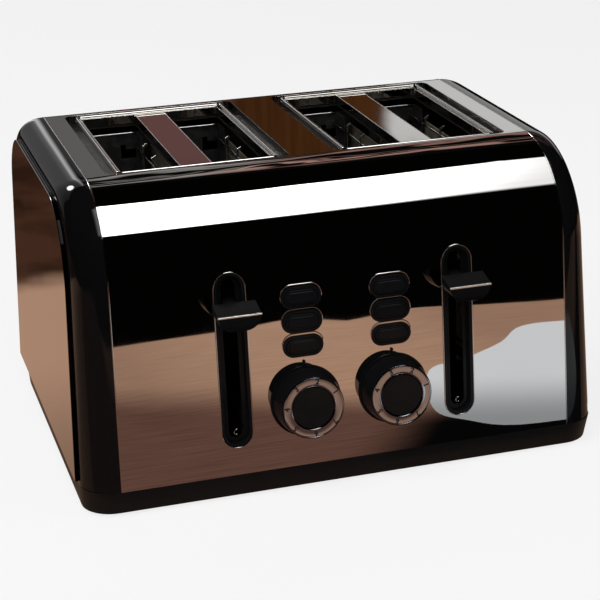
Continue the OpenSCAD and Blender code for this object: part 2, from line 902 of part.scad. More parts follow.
module latch_magnet(side) {
    top = bush_bottom - lever_travel - latch_gap;
    low = rail_z + tab_t;
    y1 = cross_y - 1;
    y0 = y1 - keeper_d + 2;
    leg = 4;
    color("#b06030") in_place() on_side(side) {
        box(about(keeper_x, keeper_w / 2 - 1), [y0, y1], [low, low + leg]);
        for (x = [keeper_x - keeper_w / 2 + 1, keeper_x + keeper_w / 2 - 1 - leg])
            box([x, x + leg], [y0, y1], [low, top]);
        translate([keeper_x - keeper_w / 2 + 1 + leg / 2, (y0 + y1) / 2, low + leg])
            cylinder(r = leg, h = top - low - leg - 2);
    }
}

module control_board(side) {
    y0 = -board_hw - 2;
    y1 = up_wall(button_z + 2 * button_pitch) + 12;
    relay_h = 12;
    drum_h = 14;
    color("darkgreen") in_place() on_dial(side) {
        box([-board_hw, board_hw], [y0, y1], [board_back, -board_depth]);
        for (i = [0:2]) {
            y = up_wall(button_z + i * button_pitch);
            box(about(0, 4), about(y, 3), [board_back, switch_h - board_depth]);
        }
        box([6 - board_hw, 2], [8, 26], [board_back - relay_h, -board_depth]);
        for (k = [0.4, 0.6]) translate([board_hw / 2 - 1, k * y1, board_back - drum_h])
            cylinder(r = 5, h = drum_h + board_t / 2);
    }
}

module button_guide(side) {
    y0 = up_wall(button_z) - button_hole_h / 2 - 2;
    y1 = up_wall(button_z + 2 * button_pitch) + button_hole_h / 2 + 2;
    hw = board_hw - 1;
    color("#141414") in_place() difference() {
        union() {
            on_dial(side) {
                box([-hw, hw], [y0, y1], [guide_back, -sheet_t]);
                for (x = [-hw + 2.5, hw - 2.5], y = [y0 + 2.5, y1 - 2.5])
                    translate([x, y, -board_depth]) cylinder(r = 2, h = board_depth - sheet_t - guide_t / 2);
            }
            for (i = [0:2]) on_button(side, i)
                along_z(guide_back, collar_h) stadium(button_hole_w - 2 * fit, button_hole_h - 2 * fit);
        }
        for (i = [0:2]) on_button(side, i) along_z(guide_back - 1, collar_h + 1)
            stadium(button_w + 2 * button_clear, button_h + 2 * button_clear);
    }
}

module button(side, i) {
    stem_end = switch_h - board_depth + button_travel + 0.3;
    flange_z = guide_back - 0.3;
    color("#0a0a0a") in_place() on_button(side, i) {
        along_z(flange_z - 1, button_proud) stadium(button_w, button_h);
        along_z(button_proud - 0.5, button_proud + 0.6) stadium(button_w - 3, button_h - 3);
        along_z(flange_z - 1.5, flange_z) stadium(button_w + 4, button_h + 3.2);
        translate([0, 0, stem_end]) cylinder(r = 2, h = flange_z - 1 - stem_end);
    }
}

module dial_bezel(side) {
    dot_r = 0.9;
    tip = bezel_r + 1.6;
    color("#151515") in_place() on_dial(side) difference() {
        union() {
            cylinder(r = bezel_r, h = bezel_t);
            along_z(0, bezel_t) polygon([[-2, bezel_r - 0.5], [2, bezel_r - 0.5], [0.4, tip], [-0.4, tip]]);
            translate([0, tip + 0.5, 0]) cylinder(r = dot_r, h = bezel_t + 0.3);
        }
        translate([0, 0, -1]) cylinder(r = bushing_r + fit, h = bezel_t + 2);
    }
}

module dial_pot(side) {
    color("dimgray") in_place() on_dial(side) difference() {
        union() {
            translate([0, 0, -board_depth]) cylinder(r = pot_r, h = pot_depth);
            translate([0, 0, -board_depth]) cylinder(r = bushing_r, h = board_depth + bezel_t);
        }
        translate([0, 0, 1 - board_depth]) cylinder(r = shaft_r + shaft_clear, h = board_depth + 5);
    }
}

module dial_shaft(side) {
    color("silver") in_place() on_dial(side) translate([0, 0, 2 - board_depth])
        cylinder(r = shaft_r, h = board_depth - 2 + dial_h - 4);
}

module dial_knob(side) {
    hub_r = bushing_r + 2;
    seat = dial_h - ring_t;
    color("#0c0c0c") in_place() on_dial(side) rotate_extrude() polygon([
        [0, dial_h + 0.4],
        [0, dial_h - 4],
        [shaft_r, dial_h - 4],
        [shaft_r, dial_foot],
        [shaft_r + 0.01, dial_foot],
        [hub_r, dial_foot],
        [hub_r, dial_h - 4],
        [dial_face_r - 2, dial_h - 4],
        [dial_foot_r - 2, dial_foot],
        [dial_foot_r, dial_foot],
        [dial_foot_r, dial_foot + 2],
        [dial_face_r, dial_h],
        [dial_face_r - 0.6, dial_h],
        [dial_face_r - 0.6, seat],
        [dial_middle_r, seat],
        [dial_middle_r, dial_h],
        [dial_middle_r - 0.4, dial_h + 0.4]
    ]);
}

module dial_ring(side) {
    color("white") in_place() on_dial(side) translate([0, 0, dial_h - ring_t]) difference() {
        cylinder(r = dial_face_r - 0.7, h = ring_t + 0.1);
        translate([0, 0, -1]) cylinder(r = dial_middle_r + fit, h = ring_t + 2);
    }
}

module crumb_tray(side) {
    y0 = 2 * base_wall + 4;
    y1 = body_d - 2;
    lip = body_d + 0.3;
    low = floor_z + 0.2;
    tray_t = 1;
    color("gray") in_place() on_side(side) {
        difference() {
            box(about(pair_x, tray_w / 2), [y0, y1], [low, low + tray_h]);
            box(about(pair_x, tray_w / 2 - tray_t), [y0 + tray_t, y1 - tray_t], [low + tray_t, top_z]);
        }
        box(about(pair_x, tray_w / 2 + 3), [lip, lip + 1.6], [foot_h + 1, wrap_z - 2]);
        box(about(pair_x, tray_w / 2 - 2), [y1 - 1, lip + 1], [low + 1, low + tray_h - 1]);
        box(about(pair_x, 24), [lip, body_d + grip_d], [floor_z + 1, floor_z + 5]);
    }
}

module cord_inlet() {
    color("#101010") in_place() translate([inlet_x, body_d, inlet_z]) rotate([90, 0, 0]) difference() {
        union() {
            translate([0, 0, -3]) cylinder(r = inlet_r + inlet_wall + 3, h = 3);
            translate([0, 0, -1]) cylinder(r = inlet_r + inlet_wall, h = 10);
            translate([0, 0, sheet_t]) cylinder(r = inlet_r + inlet_wall + 2, h = 3);
        }
        translate([0, 0, -5]) cylinder(r = inlet_r, h = 20);
    }
}

base();
feet();
base_screws();
wrap_part([-1, sheet_joint_y[0]]);  // wrap_front
wrap_part(sheet_joint_y);  // wrap_top
wrap_part([sheet_joint_y[1], body_d + 1]);  // wrap_back
end_cap(left);  // end_cap_left
end_cap(right);  // end_cap_right
side_panel(left);  // side_panel_left
side_panel(right);  // side_panel_right
slot_frame(left);  // slot_frame_left
slot_frame(right);  // slot_frame_right
slot_pan(left);  // slot_pan_left
slot_pan(right);  // slot_pan_right
front_bulkhead();
rear_bulkhead();
heater(left, 2);  // heater_left_outer
heater(left, 1);  // heater_left_middle
heater(left, 0);  // heater_left_inner
heater(right, 0);  // heater_right_inner
heater(right, 1);  // heater_right_middle
heater(right, 2);  // heater_right_outer
bread_guards(left);  // bread_guards_left
bread_guards(right);  // bread_guards_right
guide_rod(left);  // guide_rod_left
guide_rod(right);  // guide_rod_right
lift_spring(left);  // lift_spring_left
lift_spring(right);  // lift_spring_right
carriage(left);  // carriage_left
carriage(right);  // carriage_right
lever(left);  // lever_left
lever(right);  // lever_right
track_insert(left);  // track_insert_left
track_insert(right);  // track_insert_right
latch_magnet(left);  // latch_magnet_left
latch_magnet(right);  // latch_magnet_right
control_board(left);  // control_board_left
control_board(right);  // control_board_right
button_guide(left);  // button_guide_left
button_guide(right);  // button_guide_right
button(left, 0);  // button_left_1
button(left, 1);  // button_left_2
button(left, 2);  // button_left_3
button(right, 0);  // button_right_1
button(right, 1);  // button_right_2
button(right, 2);  // button_right_3
dial_bezel(left);  // dial_bezel_left
dial_bezel(right);  // dial_bezel_right
dial_pot(left);  // dial_pot_left
dial_pot(right);  // dial_pot_right
dial_shaft(left);  // dial_shaft_left
dial_shaft(right);  // dial_shaft_right
dial_knob(left);  // dial_knob_left
dial_knob(right);  // dial_knob_right
dial_ring(left);  // dial_ring_left
dial_ring(right);  // dial_ring_right
crumb_tray(left);  // crumb_tray_left
crumb_tray(right);  // crumb_tray_right
cord_inlet();
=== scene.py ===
"""Four-slot pop up toaster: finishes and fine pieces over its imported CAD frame."""

import json
import math

import bmesh
import bpy
from mathutils import Matrix, Vector

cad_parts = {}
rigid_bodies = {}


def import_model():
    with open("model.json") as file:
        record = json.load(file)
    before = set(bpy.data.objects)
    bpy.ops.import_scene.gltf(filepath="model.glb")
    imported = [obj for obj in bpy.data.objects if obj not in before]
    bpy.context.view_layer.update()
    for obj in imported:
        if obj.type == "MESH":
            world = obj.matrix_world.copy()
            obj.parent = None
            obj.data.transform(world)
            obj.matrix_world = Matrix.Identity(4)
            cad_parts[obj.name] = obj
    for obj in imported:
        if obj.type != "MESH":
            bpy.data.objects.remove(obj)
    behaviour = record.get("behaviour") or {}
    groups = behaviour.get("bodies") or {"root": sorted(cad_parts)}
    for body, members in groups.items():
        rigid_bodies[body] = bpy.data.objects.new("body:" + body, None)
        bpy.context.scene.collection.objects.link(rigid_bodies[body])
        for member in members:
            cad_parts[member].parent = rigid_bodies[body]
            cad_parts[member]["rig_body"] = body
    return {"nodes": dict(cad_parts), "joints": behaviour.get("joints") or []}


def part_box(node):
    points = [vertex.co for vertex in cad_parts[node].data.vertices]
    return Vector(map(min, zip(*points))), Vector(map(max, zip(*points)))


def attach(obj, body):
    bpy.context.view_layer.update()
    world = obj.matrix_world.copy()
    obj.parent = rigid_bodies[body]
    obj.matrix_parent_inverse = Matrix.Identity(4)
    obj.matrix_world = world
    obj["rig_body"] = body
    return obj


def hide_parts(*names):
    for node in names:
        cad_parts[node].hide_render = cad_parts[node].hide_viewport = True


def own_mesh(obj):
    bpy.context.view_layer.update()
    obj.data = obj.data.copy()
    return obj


bl_info = {
    "name": "Pop Up Toaster",
    "version": (1, 0, 0),
    "blender": (4, 5, 0),
    "location": "View3D > Sidebar > Toaster",
    "description": "Builds the finishes and the fine pieces of a four-slot toaster, and its stage",
    "category": "Add Mesh",
}

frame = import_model()

MM = 0.001
SIDES = {"left": -1, "right": 1}  # the sign of x on each side
JOINTS = {joint["name"]: joint for joint in frame["joints"]}
SHEETS = ("wrap_front", "wrap_top", "wrap_back")
WRAP_LOW, WRAP_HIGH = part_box("wrap_front")
CAP_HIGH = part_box("end_cap_right")[1]
PANEL_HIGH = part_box("side_panel_right")[1]
LEVER_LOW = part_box("lever_left")[0]
FRONT_Y, BACK_Y = WRAP_LOW.y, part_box("wrap_back")[1].y
WRAP_Z, TOP_Z = WRAP_LOW.z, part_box("wrap_top")[1].z
LEAN = math.asin(JOINTS["dial_left"]["axis"][2])
LEVER_SLOPE = 0.243  # rise of a lever's top for its length towards the wall
NUMBER_STEP = 48.5  # degrees between two of a dial's numbers
TWO_AT = {"left": 11.0, "right": 26.0}  # degrees from straight up to the number 2


# ---------------------------------------------------------------- settings


def amount(name, description, default, high=100.0, **kind):
    return bpy.props.FloatProperty(
        name=name, description=description, default=default, min=0.0, max=high, **kind
    )


def length(name, description, default, high=0.4):
    return amount(name, description, default, high, unit="LENGTH", precision=5)


def turn(name, description, degrees):
    default = math.radians(degrees)
    return bpy.props.FloatProperty(
        name=name, description=description, default=default, subtype="ANGLE", unit="ROTATION"
    )


def colour(name, description, default):
    return bpy.props.FloatVectorProperty(
        name=name, description=description, default=default, min=0.0, max=1.0, subtype="COLOR"
    )


class ToasterSizes(bpy.types.PropertyGroup):
    """Sizes of the fine pieces"""

    front_r: length("Front corner", "Radius of the wrap's round top front edge", 58 * MM)
    back_r: length("Back corner", "Radius of the wrap's round top back edge", 26 * MM)
    sheet: length("Sheet", "Thickness of the wrap's sheet metal", 0.8 * MM)
    seam_lean: turn("Joint lean", "Lean of the joints between wrap and end caps", 0.7)
    side_lean: turn("Side lean", "Lean of the end caps' flat sides", 2.0)
    cap_front_in: length("Cap front", "How far an end cap draws in at the front", 19.7 * MM)
    cap_top_in: length("Cap top", "How far an end cap draws in at the top", 10 * MM)
    cap_back_in: length("Cap back", "How far an end cap draws in at the back", 5 * MM)
    corner_change: length("Cap corner", "How much an end cap's front corner tightens", 6 * MM)
    cap_wall: length("Cap wall", "Wall of an end cap", 2.5 * MM)
    bead: length("Bead", "Radius of the bright beads at the joints and holes", 0.45 * MM)
    lever_z: length("Lever height", "Height of a lever's front top edge", 122.6 * MM)
    lever_travel: length("Lever travel", "How far a lever and its carriage go down", 60 * MM)
    rolled: length("Rolled edge", "Radius of the rolled edges of the frames", 0.95 * MM)
    bulkhead_drop: length("Bulkhead drop", "Depth of the bulkheads' top edge in the slots", 14 * MM)
    slot_width: length("Slot width", "Width of a bread slot", 35.8 * MM)
    slot_rim: length("Slot rim", "Width of a slot frame's rim along its sides", 3.8 * MM)
    slot_rim_end: length("Slot rim end", "Width of a slot frame's rim at its ends", 2.8 * MM)
    track_width: length("Track width", "Width of a lever's track", 19 * MM)
    button_width: length("Button hole width", "Width of a push button's hole", 25 * MM)
    button_height: length("Button hole height", "Height of a push button's hole", 13.4 * MM)
    bezel_r: length("Bezel", "Radius of a dial's black bezel", 21.8 * MM)
    dial_face_r: length("Dial face", "Radius of a dial's face", 19 * MM)
    dial_middle_r: length("Dial middle", "Radius of the black disc in a dial's face", 13.1 * MM)
    dial_height: length("Dial height", "Height of a dial's face above the wall", 16 * MM)
    numeral: length("Numeral", "Type size of the dials' numbers", 4.5 * MM)


class ToasterColours(bpy.types.PropertyGroup):
    """Colours of the finishes"""

    steel: colour("Polished steel", "Mirror-polished sheet", (0.80, 0.79, 0.775))
    dark_steel: colour("Heated steel", "Steel inside the slots", (0.09, 0.088, 0.085))
    zinc: colour("Zinc", "Galvanised inner plates", (0.16, 0.16, 0.162))
    black: colour("Black", "Glossy black plastic", (0.004, 0.004, 0.0045))
    soft_black: colour("Soft black", "Moulded base and feet", (0.006, 0.006, 0.0065))
    copper: colour("Copper", "Enamelled winding", (0.55, 0.24, 0.10))
    mica: colour("Mica", "Heater boards", (0.20, 0.17, 0.13))
    board: colour("Circuit board", "Solder resist", (0.02, 0.12, 0.045))
    print: colour("Numbers", "Paint of the dials' numbers", (0.010, 0.010, 0.010))
    dial_ring: colour("Dial ring", "Bright ring of a dial", (0.48, 0.50, 0.56))
    table: colour("Table", "Wood tone that the polished sheet mirrors", (0.46, 0.275, 0.185))


class ToasterStage(bpy.types.PropertyGroup):
    """Camera, lamps and cards"""

    azimuth: turn("Azimuth", "Camera's angle round the toaster", -16.526)
    elevation: turn("Elevation", "Camera's angle above the floor", 20.559)
    roll: turn("Roll", "Camera's turn about its own axis", -1.412)
    distance: length("Distance", "From the camera to its target", 1.12533, 5.0)
    lens: amount("Lens", "Focal length in millimetres on a 36 mm sensor", 106.0, 300.0)
    key: amount("Key lamp", "Power of the large lamp in watts", 24.0)
    fill: amount("Fill lamp", "Power of the second lamp in watts", 9.0)
    rear: amount("Rear lamp", "Power of the lamp behind the toaster in watts", 8.0)
    softbox: amount("Softbox", "Strength of the overhead box as the sheet mirrors it", 4.0)
    corner: amount("Corner light", "Strength of the round lamp as the end caps mirror it", 18.0)


def sizes():
    return bpy.context.scene.toaster_sizes


def tint(shade, factor):
    """A colour made darker or lighter"""
    return tuple(min(1.0, part * factor) for part in shade)


def shade_of(name, factor=1.0):
    """One of the toaster's colours, at its own or another brightness"""
    return tint(getattr(bpy.context.scene.toaster_colours, name), factor)


def grey(value):
    return (value, value, value)


# ---------------------------------------------------------------- shader maths


class Channel:
    """A shader socket that takes part in arithmetic"""

    def __init__(self, owner, socket):
        self.owner = owner
        self.socket = socket

    def __add__(self, other):
        return self.owner.math("ADD", self, other)

    __radd__ = __add__

    def __sub__(self, other):
        return self.owner.math("SUBTRACT", self, other)

    def __rsub__(self, other):
        return self.owner.math("SUBTRACT", other, self)

    def __mul__(self, other):
        return self.owner.math("MULTIPLY", self, other)

    __rmul__ = __mul__

    def __truediv__(self, other):
        return self.owner.math("DIVIDE", self, other)

    def __rtruediv__(self, other):
        return self.owner.math("DIVIDE", other, self)

    def __gt__(self, other):
        return self.owner.math("GREATER_THAN", self, other)

    def __lt__(self, other):
        return self.owner.math("LESS_THAN", self, other)


class Finish:
    """The node tree of a material or a world"""

    def __init__(self, owner):
        self.owner = owner
        owner.use_nodes = True
        self.tree = owner.node_tree
        self.tree.nodes.clear()

    def add(self, kind, inputs=None, output=0, **settings):
        """A new node: its settings first, then the values or links of its sockets"""
        node = self.tree.nodes.new(kind)
        for name, value in settings.items():
            if name == "stops":
                while len(node.color_ramp.elements) < len(value):
                    node.color_ramp.elements.new(1.0)
                for element, (position, shade) in zip(node.color_ramp.elements, value):
                    element.position = position
                    element.color = (*shade, 1.0)
            else:
                setattr(node, name, value)
        for name, value in (inputs or {}).items():
            socket = node.inputs[name]
            if isinstance(value, Channel):
                self.tree.links.new(value.socket, socket)
            elif socket.type == "RGBA":
                socket.default_value = (*value, 1.0)
            else:
                socket.default_value = value
        if node.outputs:
            return Channel(self, node.outputs[output])

    def math(self, operation, *values):
        return self.add("ShaderNodeMath", dict(enumerate(values)), operation=operation)

    def spot(self, stretch=(1.0, 1.0, 1.0)):
        """Where a point lies on the toaster, with the axes stretched for a pattern"""
        here = self.add("ShaderNodeTexCoord", output="Object")
        return self.add("ShaderNodeMapping", {"Vector": here, "Scale": stretch})

    def axes(self, names):
        """The coordinates along the axes that are named"""
        parts = self.add("ShaderNodeSeparateXYZ", {"Vector": self.spot()}).socket.node.outputs
        return [Channel(self, parts[name]) for name in names]

    def noise(self, size, detail=2.0, stretch=(1.0, 1.0, 1.0), rough=0.5):
        inputs = {"Vector": self.spot(stretch), "Scale": 1 / size, "Detail": detail, "Roughness": rough}
        return self.add("ShaderNodeTexNoise", inputs)

    def cells(self, size, stretch=(1.0, 1.0, 1.0), feature="F1", output="Distance"):
        inputs = {"Vector": self.spot(stretch), "Scale": 1 / size}
        return self.add("ShaderNodeTexVoronoi", inputs, output, feature=feature)

    def flakes(self, size):
        """Small patches, each in a grey of its own"""
        return self.add("ShaderNodeRGBToBW", {"Color": self.cells(size, output="Color")})

    def steps(self, value, low, high):
        """A soft step from 0 at the low value to 1 at the high one"""
        inputs = {"Value": value, "From Min": low, "From Max": high}
        return self.add("ShaderNodeMapRange", inputs, interpolation_type="SMOOTHSTEP")

    def ramp(self, value, stops):
        return self.add("ShaderNodeValToRGB", {"Fac": value}, stops=stops)

    def mix(self, factor, first, second):
        return self.add("ShaderNodeMix", {0: factor, 6: first, 7: second}, 2, data_type="RGBA")

    def toned(self, factor, base, first, second):
        """Two tones of one colour, mixed by a factor"""
        return self.mix(factor, tint(base, first), tint(base, second))

    def bump(self, height, distance, **under):
        return self.add("ShaderNodeBump", {"Height": height, "Distance": distance, **under})

    def principled(self, **inputs):
        names = [name.replace("_", " ").title().replace("Ior", "IOR") for name in inputs]
        return self.add("ShaderNodeBsdfPrincipled", dict(zip(names, inputs.values())))

    def glow(self, shade, strength):
        return self.add("ShaderNodeEmission", {"Color": shade, "Strength": strength})

    def out(self, surface, kind="ShaderNodeOutputMaterial"):
        self.add(kind, {"Surface": surface})
        return self.owner

    def shining(self, shade, strength=1.0):
        """The finished material of a card that gives off light"""
        return self.out(self.glow(shade, strength))


def material(name):
    """The empty node tree of a new material"""
    return Finish(bpy.data.materials.new(name))


def finish(maker):
    """The material of one of the finishes, made when it is first asked for"""
    name = "finish " + maker.__name__
    made = bpy.data.materials.get(name)
    if not made:
        f = material(name)
        made = f.out(maker(f))
    return made


# ---------------------------------------------------------------- finishes


def mirror_steel(f):
    """Polished sheet: slow waves and two faint bulges from the press, wiping marks and a thin film"""
    base = shade_of("steel")
    wavy_below, calm_above = 125 * MM, 150 * MM
    bulge_x, bulge_z = 30 * MM, 132 * MM
    bulge_wide, bulge_tall, bulge_deep = 35 * MM, 22 * MM, 0.22 * MM
    film = f.noise(0.05, 4.0, (1.0, 1.0, 1.6))
    wipe = f.noise(0.004, 3.0, (0.12, 1.0, 1.0), rough=0.6)
    x, z = f.axes("XZ")
    waves = f.noise(0.13, 1.0, (0.8, 1.0, 1.5)) * 0.0004 + f.noise(0.05, 1.0, (0.5, 1.0, 1.0)) * 0.0001
    waves = waves * (1 - f.steps(z, wavy_below, calm_above) * 0.93)
    across = (f.math("ABSOLUTE", x) - bulge_x) / bulge_wide
    upward = (z - bulge_z) / bulge_tall
    bulges = f.math("EXPONENT", 0 - across * across - upward * upward) * bulge_deep
    return f.principled(
        base_color=f.toned(film, base, 0.94, 1.0),
        metallic=1.0,
        roughness=f.steps(film, 0.35, 0.8) * 0.012 + wipe * 0.01 + 0.008,
        normal=f.bump(waves + bulges, 1.0),
    )


def mirror_panel(f):
    """Polished side plates, a little softer than the wrap, with painted shade: near black on the rims behind
    their flat faces
    """
    base = shade_of("steel")
    film = f.noise(0.06, 4.0)
    grain = f.noise(0.0012, 2.0, (1.0, 0.06, 1.0))
    x, z = f.axes("XZ")
    outward = f.math("ABSOLUTE", x) + (z - WRAP_Z) * math.tan(sizes().side_lean)
    painted_shade_to, bright_from = PANEL_HIGH.x - 0.3 * MM, PANEL_HIGH.x - 0.1 * MM
    # Painted shade: the rims behind the flat face are near black, so they mirror no light
    face = f.steps(outward, painted_shade_to, bright_from)
    return f.principled(
        base_color=f.mix(face, grey(0.006), f.toned(film, base, 0.9, 0.98)),
        metallic=1.0,
        roughness=f.steps(film, 0.3, 0.8) * 0.03 + grain * 0.02 + 0.02,
        normal=f.bump(f.noise(0.09, 1.0), 0.0006),
    )


def bright_trim(f):
    """Small bright beads and rims"""
    base = shade_of("steel")
    worn = f.noise(0.006, 3.0)
    return f.principled(
        base_color=f.toned(worn, base, 0.9, 1.08),
        metallic=1.0,
        roughness=worn * 0.12 + 0.06,
        normal=f.bump(f.noise(0.003, 2.0), 0.00003),
    )


def bright_frame(f):
    """Rolled and polished slot frames, browned a little where they are hot"""
    base = shade_of("steel")
    heat = f.noise(0.04, 3.0) * 0.6
    return f.principled(
        base_color=f.mix(heat, base, (base[0], base[1] * 0.95, base[2] * 0.89)),
        metallic=1.0,
        roughness=f.noise(0.002, 3.0, (1.0, 0.1, 1.0)) * 0.06 + 0.03,
        normal=f.bump(f.noise(0.045, 1.0, (1.0, 0.6, 1.0)), 0.0003),
    )


def dark_steel(f):
    """Heat-darkened steel inside the slots"""
    base = shade_of("dark_steel")
    stain = f.noise(0.018, 5.0, rough=0.6)
    heat = f.noise(0.05, 2.0)
    shade = f.toned(stain, base, 0.6, 1.25)
    browned = (base[0] * 0.9, base[1] * 0.8, base[2] * 0.7)
    return f.principled(
        base_color=f.mix(f.steps(heat, 0.5, 0.75) * 0.5, shade, browned),
        metallic=1.0,
        roughness=stain * 0.25 + 0.28,
        normal=f.bump(f.noise(0.0015, 3.0), 0.00004),
    )


def sooted(f):
    """Near-black pans in the trenches round the slot frames, mottled a little lighter in patches"""
    stain = f.noise(0.02, 5.0, rough=0.6)
    # Near black all over the pans, a little lighter in patches
    return f.principled(
        base_color=f.mix(stain, grey(0.006), (0.022, 0.018, 0.015)),
        roughness=stain * 0.3 + 0.35,
        normal=f.bump(f.noise(0.0012, 3.0), 0.00004),
    )


def galvanised(f):
    """Zinc-coated plate with spangle and heat stain"""
    base = shade_of("zinc")
    tone = f.flakes(0.004)
    stain = f.noise(0.03, 4.0)
    shade = f.toned(tone, base, 0.62, 1.1)
    return f.principled(
        base_color=f.mix(f.steps(stain, 0.4, 0.75) * 0.6, shade, tint(base, 0.4)),
        metallic=0.9,
        roughness=tone * 0.2 + stain * 0.1 + 0.25,
        normal=f.bump(tone, 0.00002, Normal=f.bump(stain, 0.0004)),
    )


def steel(f):
    """Zinc-plated rods, springs, shafts and screws"""
    base = shade_of("steel", 0.72)
    turned = f.noise(0.0007, 2.0, (1.0, 1.0, 6.0))
    return f.principled(
        base_color=f.toned(turned, base, 0.8, 1.1),
        metallic=1.0,
        roughness=turned * 0.15 + 0.18,
        normal=f.bump(turned, 0.00002),
    )


def guard_wire(f):
    """Drawn bright wire, darker and browner towards its lower end"""
    base = shade_of("steel", 0.95)
    dark_to, light_from = 50 * MM, 150 * MM
    # Darker and browner towards the lower end of each wire
    low = 1 - f.steps(f.axes("Z")[0], dark_to, light_from)
    drawn = f.noise(0.0006, 2.0, (1.0, 1.0, 0.1))
    return f.principled(
        base_color=f.mix(low * 0.7, base, (0.22, 0.17, 0.13)),
        metallic=1.0,
        roughness=drawn * 0.12 + low * 0.15 + 0.10,
        normal=f.bump(drawn, 0.00002),
    )


def gloss_black(f):
    """Moulded glossy black with a clear skin"""
    base = shade_of("black")
    film = f.noise(0.05, 4.0)
    dust = f.steps(f.noise(0.0009, 2.0), 0.68, 0.8)
    return f.principled(
        base_color=f.mix(dust * 0.25, base, (0.05, 0.048, 0.045)),
        roughness=f.steps(film, 0.3, 0.8) * 0.04 + dust * 0.1 + 0.04,
        normal=f.bump(f.noise(0.08, 1.0), 0.0005),
        specular_ior_level=0.28,
        coat_weight=0.12,
        coat_roughness=0.03,
    )


def control_black(f):
    """Satin black of the buttons, dials, track liners and cord inlet"""
    base = shade_of("black", 1.2)
    touch = f.noise(0.012, 3.0)
    return f.principled(
        base_color=f.toned(touch, base, 1.0, 1.9),
        roughness=f.steps(touch, 0.3, 0.8) * 0.04 + 0.05,
        normal=f.bump(f.noise(0.0006, 3.0), 0.00001),
        specular_ior_level=0.09,
        coat_weight=0.03,
        coat_roughness=0.05,
    )


def lever_black(f):
    """Black of the levers, with a painted highlight: a strip of bright polished metal along the front top
    edge
    """
    base = shade_of("black")
    touch = f.noise(0.012, 3.0)
    y, z = f.axes("YZ")
    highlight_to, black_from = 0.6 * MM, 0.8 * MM
    top, front_y = sizes().lever_z, LEVER_LOW.y
    # Painted highlight: the front top edge is made polished steel so that it shines as a bright line
    front = 1 - f.steps(y, front_y + highlight_to, front_y + black_from)
    edge = front * f.steps(z - (y - front_y) * LEVER_SLOPE, top - black_from, top - highlight_to)
    return f.principled(
        base_color=f.mix(edge, f.toned(touch, base, 1.0, 1.9), shade_of("steel")),
        metallic=edge,
        roughness=f.steps(touch, 0.3, 0.8) * 0.06 + 0.2 - edge * 0.12,
        normal=f.bump(f.noise(0.0006, 3.0), 0.00001),
        specular_ior_level=0.01,
    )


def black_plastic(f):
    """Fine-grained moulded base"""
    base = shade_of("soft_black")
    rub = f.noise(0.03, 4.0)
    return f.principled(
        base_color=f.toned(rub, base, 0.8, 1.6),
        roughness=rub * 0.15 + 0.28,
        normal=f.bump(f.noise(0.0008, 3.0), 0.00006),
        specular_ior_level=0.2,
    )


def rubber(f):
    """Matt rubber feet with patches of dust"""
    base = shade_of("soft_black")
    dust = f.noise(0.004, 4.0)
    return f.principled(
        base_color=f.mix(f.steps(dust, 0.5, 0.8), tint(base, 1.2), (0.06, 0.058, 0.055)),
        roughness=dust * 0.15 + 0.72,
        normal=f.bump(f.noise(0.0005, 3.0), 0.00008),
    )


def number_paint(f):
    """Painted numbers of the dials"""
    base = shade_of("print")
    worn = f.noise(0.0008, 3.0)
    return f.principled(base_color=f.toned(worn, base, 1.0, 3.0), roughness=worn * 0.2 + 0.4)


def dial_mirror(f):
    """Spun bright ring of a dial"""
    base = shade_of("dial_ring")
    film = f.noise(0.01, 4.0)
    return f.principled(
        base_color=f.toned(film, base, 0.93, 1.0),
        metallic=1.0,
        roughness=film * 0.08 + 0.05,
        normal=f.bump(f.noise(0.0005, 2.0), 0.000006),
    )


def mica(f):
    """Laminated mica with glittering flakes and scorching"""
    base = shade_of("mica")
    tone = f.flakes(0.0022)
    scorch = f.steps(f.noise(0.02, 4.0), 0.4, 0.7)
    shade = f.toned(tone, base, 0.75, 1.15)
    return f.principled(
        base_color=f.mix(scorch * 0.6, shade, tint(base, 0.3)),
        roughness=tone * 0.3 + 0.3,
        normal=f.bump(tone, 0.00005),
    )


def copper(f):
    """Enamelled copper winding"""
    base = shade_of("copper")
    turns = f.add("ShaderNodeTexWave", {"Vector": f.spot(), "Scale": 700.0}, bands_direction="Z")
    return f.principled(
        base_color=f.toned(turns, base, 0.5, 1.0),
        metallic=0.7,
        roughness=turns * 0.1 + 0.25,
        normal=f.bump(turns, 0.0001),
    )


def board_green(f):
    """Solder resist with tracks and dots of solder"""
    base = shade_of("board")
    tracks = f.steps(f.cells(0.004, (1.0, 1.0, 0.35), "DISTANCE_TO_EDGE"), 0.03, 0.07)
    dots = 1 - f.steps(f.cells(0.0051), 0.12, 0.18)
    shade = f.toned(tracks, base, 2.2, 1.0)
    return f.principled(
        base_color=f.mix(dots, shade, (0.45, 0.45, 0.44)),
        metallic=dots * 0.8,
        roughness=0.45 - dots * 0.15,
        normal=f.bump(dots, 0.0001),
    )


def tray_steel(f):
    """Dull pressed tray with fine scratches and crumbs' stains"""
    base = shade_of("steel", 0.72)
    scratch = f.noise(0.0012, 4.0, (0.08, 1.0, 1.0), rough=0.7)
    stain = f.steps(f.noise(0.02, 4.0), 0.5, 0.8) * 0.4
    return f.principled(
        base_color=f.mix(stain, f.toned(scratch, base, 0.85, 1.0), (0.30, 0.24, 0.17)),
        metallic=1.0,
        roughness=scratch * 0.2 + 0.24,
        normal=f.bump(scratch, 0.00003),
    )


# ---------------------------------------------------------------- making pieces


def linked(name, data):
    """A new object in the scene"""
    item = bpy.data.objects.new(name, data)
    bpy.context.scene.collection.objects.link(item)
    return item


def own(mesh, name, body, surface, nodes=()):
    """Puts a finished mesh into the scene as a piece of the toaster on a body, and hides the CAD nodes that
    it stands for
    """
    piece = linked(name, mesh)
    mesh.materials.clear()
    mesh.materials.append(finish(surface))
    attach(piece, body)
    if nodes:
        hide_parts(*nodes)
    return piece


def instead(bm, node, ending, body, surface, angle=35.0):
    """A finished mesh in place of one CAD node"""
    name = f"{node}_{ending}"
    return own(to_mesh(bm, name, angle), name, body, surface, [node])


